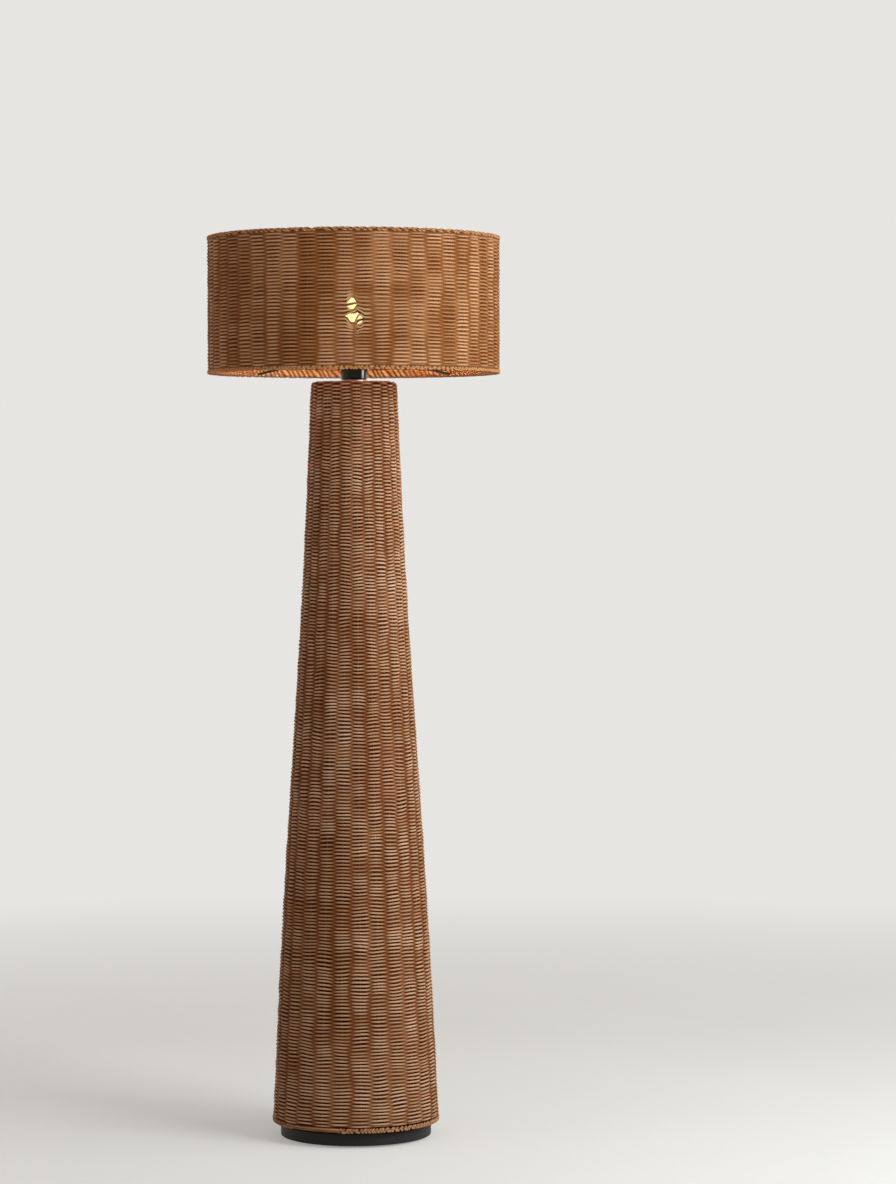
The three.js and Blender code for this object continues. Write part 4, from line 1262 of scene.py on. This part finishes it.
def make_skirt(materials):
    """Skirt of the holder: a spigot in the dome, a shoulder for the shade, and a threaded sleeve."""
    radius, dome_top = reach("holder_dome"), levels("holder_dome")[1]
    low, top = levels("holder_skirt")
    shoulder = levels("shade_fitter")[0] - CLEARANCE
    spigot, inner, mouth = radius - HOLDER_WALL - CLEARANCE, radius - HOLDER_WALL - 0.0023, 0.0143
    insert_top = levels("screw_shell")[0] - 0.004
    upright = finely((SKIRT_CREST, shoulder + 0.0004), (SKIRT_CREST, top - 0.0006))
    outline = [
        (inner, low), (spigot, low), (spigot, dome_top), (radius - 0.0005, dome_top),
        (radius, dome_top + 0.0005), (radius, shoulder - 0.001), (radius - 0.0003, shoulder - 0.0003),
        (radius - 0.001, shoulder), (SKIRT_CREST, shoulder), *upright, (SKIRT_CREST - 0.0006, top),
        (mouth, top), (mouth, insert_top), (inner, insert_top),
    ]
    shape = thread(SKIRT_CREST, 0.0008, 0.003, shoulder + 0.003, top)
    fit(
        "holder_skirt_shell", outline, "lamp_stand", "holder_resin", "holder_skirt", materials, sides=120,
        shape=shape,
    )


def make_clamp_ring(materials):
    """Ring with 24 flutes: a point on its outside goes in by 1.1 mm * cos(24 a)^2 where cos(24 a) > 0."""
    bore, radius = SKIRT_CREST + CLEARANCE, reach("clamp_ring")
    low, high = levels("clamp_ring")
    chamfer, soft = 0.001, 0.0003

    def flutes(angle, radii, height):
        dip = np.clip(np.cos(24 * angle), 0.0, 1.0) ** 2
        above = smooth_step(height, low + 0.0015, low + 0.003)
        below = 1 - smooth_step(height, high - 0.003, high - 0.0015)
        return radii - np.isclose(radii, radius, atol=1e-6) * 0.0011 * dip * above * below

    upright = finely((radius, low + chamfer), (radius, high - chamfer), 0.0005)
    outline = [
        (bore, low), (radius - chamfer, low), (radius - soft, low + soft), *upright,
        (radius - soft, high - soft), (radius - chamfer, high), (bore + 0.0006, high), (bore, high - 0.0006),
    ]
    fit(
        "clamp_ring_fluted", outline, "shade_clamp", "holder_resin", "clamp_ring", materials, sides=240,
        shape=flutes,
    )


def make_switch(materials):
    """Shaft, and a knob whose round hub carries a blade with a half-round outline."""
    level = middle_of("switch_shaft")
    place = to_the_back(level)
    outline = rounded(pin(reach("switch_shaft"), *node_range("switch_shaft", 1)), [0.0003, 0.0004])
    fit(
        "switch_shaft_pin", outline, "switch_key", "contact_brass", "switch_shaft", materials, sides=40,
        place=place,
    )
    low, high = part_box("switch_knob")
    hub_radius, hub_end = 0.0045, low.y + 0.008
    outline = rounded(pin(hub_radius, low.y, hub_end), [0.0005, 0.0007])
    fit(
        "switch_knob_hub", outline, "switch_key", "holder_resin", "switch_knob", materials, sides=48,
        place=place,
    )
    half_width, half_thickness, sunk = (high.x - low.x) / 2, 0.0016, 0.0015
    blade = blade_piece(
        "switch_knob_blade", half_width, hub_radius, hub_end - sunk, high.y, half_thickness, level,
        materials["holder_resin"],
    )
    seat(blade, "switch_key", "holder_resin", "switch_knob")


def blade_piece(name, half_width, half_foot, foot, tip, half_thickness, level, material):
    """Knob blade: a flat outline that flares from the hub to a half-round end, its edges rolled.

    Point = middle + edge * (outline - middle), at thickness * sqrt(1 - ((edge - 0.8) / 0.2)^2) over the last
    fifth of edge, which makes the rim a quarter ellipse on each side.
    """
    round_centre = tip - half_width
    turn = np.linspace(0.0, np.pi, 40)
    half_round = np.stack([half_width * np.cos(turn), round_centre + half_width * np.sin(turn)], axis=-1)
    outline = np.concatenate([[[half_foot, foot]], half_round, [[-half_foot, foot]]])
    steps = np.linspace(0.0, 1.0, 8)
    base = np.stack([np.interp(steps, [0, 1], [-half_foot, half_foot]), np.full(8, foot)], axis=-1)[1:-1]
    outline = np.concatenate([outline, base])
    middle = np.array([0.0, (foot + tip) / 2])
    roll = np.linspace(0.0, np.pi / 2, 7)
    edge = np.concatenate([[0.0, 0.4, 0.8], 0.8 + 0.2 * np.sin(roll[1:])])
    thick = np.concatenate([[1.0, 1.0, 1.0], np.cos(roll[1:])])
    edge, thick = np.concatenate([edge, edge[-2::-1]]), np.concatenate([thick, -thick[-2::-1]])
    flat = middle + edge[None, :, None] * (outline[:, None] - middle)
    x, y = flat[..., 0], flat[..., 1]
    z = level + half_thickness * np.broadcast_to(thick, x.shape)
    points = np.stack([x, y, z], axis=-1)
    quads = grid_faces(len(outline), len(edge), closed_rows=True)
    return mesh_piece(name, points, quads, material, sharp=math.radians(50))


# Bulb


def make_bulb(materials):
    make_glass(materials)
    make_cap(materials)
    make_mount(materials)
    make_filament(materials)
    make_shell(materials)


def make_glass(materials):
    """Envelope of glass 1 mm thick.

    Half of its outline is a cubic curve from the neck to the globe's widest ring, then a quarter circle to
    the top.
    """
    low, top = levels("bulb_glass")
    cap_top = levels("bulb_cap")[1]
    globe, neck, wall, steps = reach("bulb_glass"), 0.012, 0.001, 22
    centre = top - globe

    def flare(drawn_in):
        n, g, rise = neck - drawn_in, globe - drawn_in, centre - cap_top
        t = np.linspace(0.0, 1.0, steps)
        r = n * (1 - t) ** 2 * (1 + 2 * t) + g * t ** 2 * (3 - 2 * t)
        z = cap_top + rise * (1.5 * t * (1 - t) + t ** 3)
        a = np.linspace(0.0, np.pi / 2, steps)[1:]
        dome = np.stack([g * np.cos(a), centre + g * np.sin(a)], axis=-1)
        dome[-1, 0] = 0.0
        return np.concatenate([[(n, low)], np.stack([r, z], axis=-1), dome])

    outline = np.concatenate([flare(wall)[::-1], flare(0.0)])
    fit("bulb_envelope", outline, "bulb_unit", "bulb_glass", "bulb_glass", materials, sides=72)


def pressed_thread(radius, sheet, depth, start, end):
    """Thread pressed into thin sheet: the outer and the inner face follow the same wave."""
    outer = thread(radius, depth, CAP_PITCH, start, end)
    inner = thread(radius - sheet, depth, CAP_PITCH, start, end)
    return lambda angle, radii, height: inner(angle, outer(angle, radii, height), height)


def make_cap(materials):
    """Screw cap of the bulb, the dark glass below it, and the contact at its tip."""
    low, top = levels("bulb_cap")
    radius, sheet = reach("bulb_cap"), 0.00028
    outer = finely((radius, low), (radius, top - 0.0025))
    outer += [(radius - 0.0006, top - 0.001), (radius - 0.0008, top)]
    outline = outer + [(r - sheet, z) for r, z in outer[::-1]]
    shape = pressed_thread(radius, sheet, 0.0008, low + 0.0005, top - 0.0015)
    fit("bulb_screw_cap", outline, "bulb_unit", "cap_nickel", "bulb_cap", materials, sides=72, shape=shape)

    tip_low, tip_top = levels("bulb_tip")
    tip_radius = reach("bulb_tip")
    corners = [(0, tip_top), (tip_radius + 0.0006, tip_top), (radius - 0.0004, low), (0, low)]
    outline = rounded(corners, [0.001, 0.0008])
    fit(
        "bulb_insulator_glass", outline, "bulb_unit", "holder_resin", "bulb_insulator", materials, sides=72
    )
    outline = rounded(pin(tip_radius, tip_low, tip_top), [0.0016, 0.0002])
    fit("bulb_tip_contact", outline, "bulb_unit", "contact_brass", "bulb_tip", materials, sides=48)


def make_mount(materials):
    """Glass stem on a flared foot, which carries the filament."""
    low, top = levels("bulb_mount")
    foot, stem = reach("bulb_mount"), 0.0025
    corners = [
        (0, low), (foot, low), (foot, low + 0.0015), (stem, low + 0.006), (stem, top), (0, top),
    ]
    outline = rounded(corners, [0.0003, 0.0005, 0.006, 0.0012], steps=8)
    fit("bulb_glass_mount", outline, "bulb_unit", "bulb_mount_glass", "bulb_mount", materials)


def make_filament(materials):
    """Four loops that bow outwards: the distance from the axis is reach * sin(pi t)^0.7 up the height."""
    low, high = levels("bulb_filament")
    radius, steps = 0.0008, 40
    t = np.linspace(0.0, 1.0, steps)
    bow = (reach("bulb_filament") - radius) * np.sin(np.pi * t) ** 0.7
    angle = np.pi / 2 * np.arange(4)[:, None]
    height = low + 0.001 + (high - low - 0.002) * t
    facing = polar(np.ones((4, steps)), angle + np.pi / 2, np.zeros((4, steps)))
    loops = tube_piece(
        "bulb_filament_loops", polar(bow[None], angle, height), np.full((4, steps), radius), facing, 12,
        materials["filament"],
    )
    seat(loops, "bulb_unit", "filament", "bulb_filament")


def make_shell(materials):
    """Threaded shell of the socket that the bulb's cap screws into."""
    low, high = levels("screw_shell")
    radius, sheet = reach("screw_shell"), 0.0003
    outer = finely((radius, low), (radius, high))
    outline = outer + [(r - sheet, z) for r, z in outer[::-1]]
    shape = pressed_thread(radius, sheet, 0.0003, low + 0.002, high)
    fit(
        "screw_shell_thread", outline, "lamp_stand", "contact_brass", "screw_shell", materials, sides=72,
        shape=shape,
    )


# Light, floor and camera


def make_camera():
    """Camera at the photograph's place, turned as its horizon and the lamp's place in it say."""
    data = bpy.data.cameras.new("photo_view")
    data.sensor_width = SENSOR_MM
    data.lens = FOCAL_PX / PHOTO_HEIGHT_PX * SENSOR_MM
    data.clip_start, data.clip_end = 0.1, 100.0
    camera = added("photo_view", data)
    camera.location = CAMERA_PLACE
    camera.rotation_euler = (math.pi / 2 - CAMERA_PITCH_DOWN, CAMERA_ROLL, -CAMERA_TURN_RIGHT)
    bpy.context.scene.camera = camera


def seen_rays(tree):
    """1 for what the camera, polish and glass see, and 0 for the light that falls on the lamp."""
    path = tree.node("ShaderNodeLightPath").outputs
    seen = tree.math("ADD", path["Is Camera Ray"], path["Is Transmission Ray"])
    return tree.math("ADD", seen, path["Is Glossy Ray"], clamp=True)


def make_world():
    """Even ambient light. What the camera, polish and glass see of it is the pale backdrop."""
    world = bpy.data.worlds.new("studio")
    bpy.context.scene.world = world
    world.use_nodes = True
    world.node_tree.nodes.clear()
    tree = Tree(world.node_tree)
    colour = tree.mix(seen_rays(tree), rgba(AMBIENT), rgba(BACKDROP))
    background = tree.node("ShaderNodeBackground", {"Color": colour})
    tree.node("ShaderNodeOutputWorld", {"Surface": background.outputs[0]})


def make_floor():
    """Pale floor disc that fades into the backdrop's colour before its edge."""
    ring = np.concatenate([[0.0], np.geomspace(0.2, FLOOR_RADIUS, 24)])
    sides = 96
    angle = 2 * np.pi * np.arange(sides)[:, None] / sides
    points = polar(ring[None], angle, -0.0002)
    material, tree = new_material("pale_floor")
    place = tree.place()
    distance = tree.node("ShaderNodeVectorMath", {0: place}, operation="LENGTH").outputs["Value"]
    cloud = tree.noise(place, 3.0, detail=3.0)
    sockets = {
        "Base Color": tree.mix(cloud, *[rgba(tone) for tone in FLOOR_TONES]),
        "Roughness": 0.85,
        "Specular IOR Level": 0.2,
        "Emission Color": rgba(BACKDROP),
        "Emission Strength": tree.math("MULTIPLY", seen_rays(tree), FLOOR_GLOW),
    }
    near = tree.node("ShaderNodeBsdfPrincipled", sockets)
    far = tree.node("ShaderNodeEmission", {"Color": rgba(BACKDROP)})
    fade = tree.range(distance, *FLOOR_FADE)
    mixed = tree.node("ShaderNodeMixShader", {0: fade, 1: near.outputs[0], 2: far.outputs[0]})
    tree.node("ShaderNodeOutputMaterial", {"Surface": mixed.outputs[0]})
    quads = grid_faces(sides, len(ring), closed_rows=True)
    floor = mesh_piece("floor", points, quads, material, sharp=math.radians(30))


def unseen_light(name, kind, power, colour, place):
    """Light that the camera doesn't see itself."""
    data = bpy.data.lights.new(name, kind)
    data.energy = power
    data.color = colour
    light = added(name, data)
    light.location = place
    light.visible_camera = False
    return light


def make_lights():
    """Soft boxes that face the lamp, and the bulb's own light."""
    for name, (azimuth, distance, height, aim, width, tall, power, colour) in SOFT_LIGHTS.items():
        turn = math.radians(azimuth)
        place = (distance * math.sin(turn), -distance * math.cos(turn), height)
        box = unseen_light(name, "AREA", power, colour, place)
        box.data.shape = "RECTANGLE"
        box.data.size, box.data.size_y = width, tall
        box.rotation_euler = (math.pi / 2 - math.atan2(height - aim, distance), 0.0, turn)
    globe = reach("bulb_glass")
    place = (0.0, 0.0, levels("bulb_glass")[1] - globe)
    glow = unseen_light("bulb_light", "POINT", BULB_POWER, BULB_COLOUR, place)
    glow.data.shadow_soft_size = globe + 0.001
    glow.visible_glossy = False
    glow.visible_transmission = False
    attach(glow, "bulb_unit")


make_camera()
make_world()
make_floor()
make_lights()
finishes = make_materials()
finish_cad_nodes(finishes)
make_base(finishes)
make_column(finishes)
make_shade(finishes)
make_shade_frame(finishes)
make_holder(finishes)
make_switch(finishes)
make_bulb(finishes)

bpy.context.scene.view_settings.view_transform = "Standard"
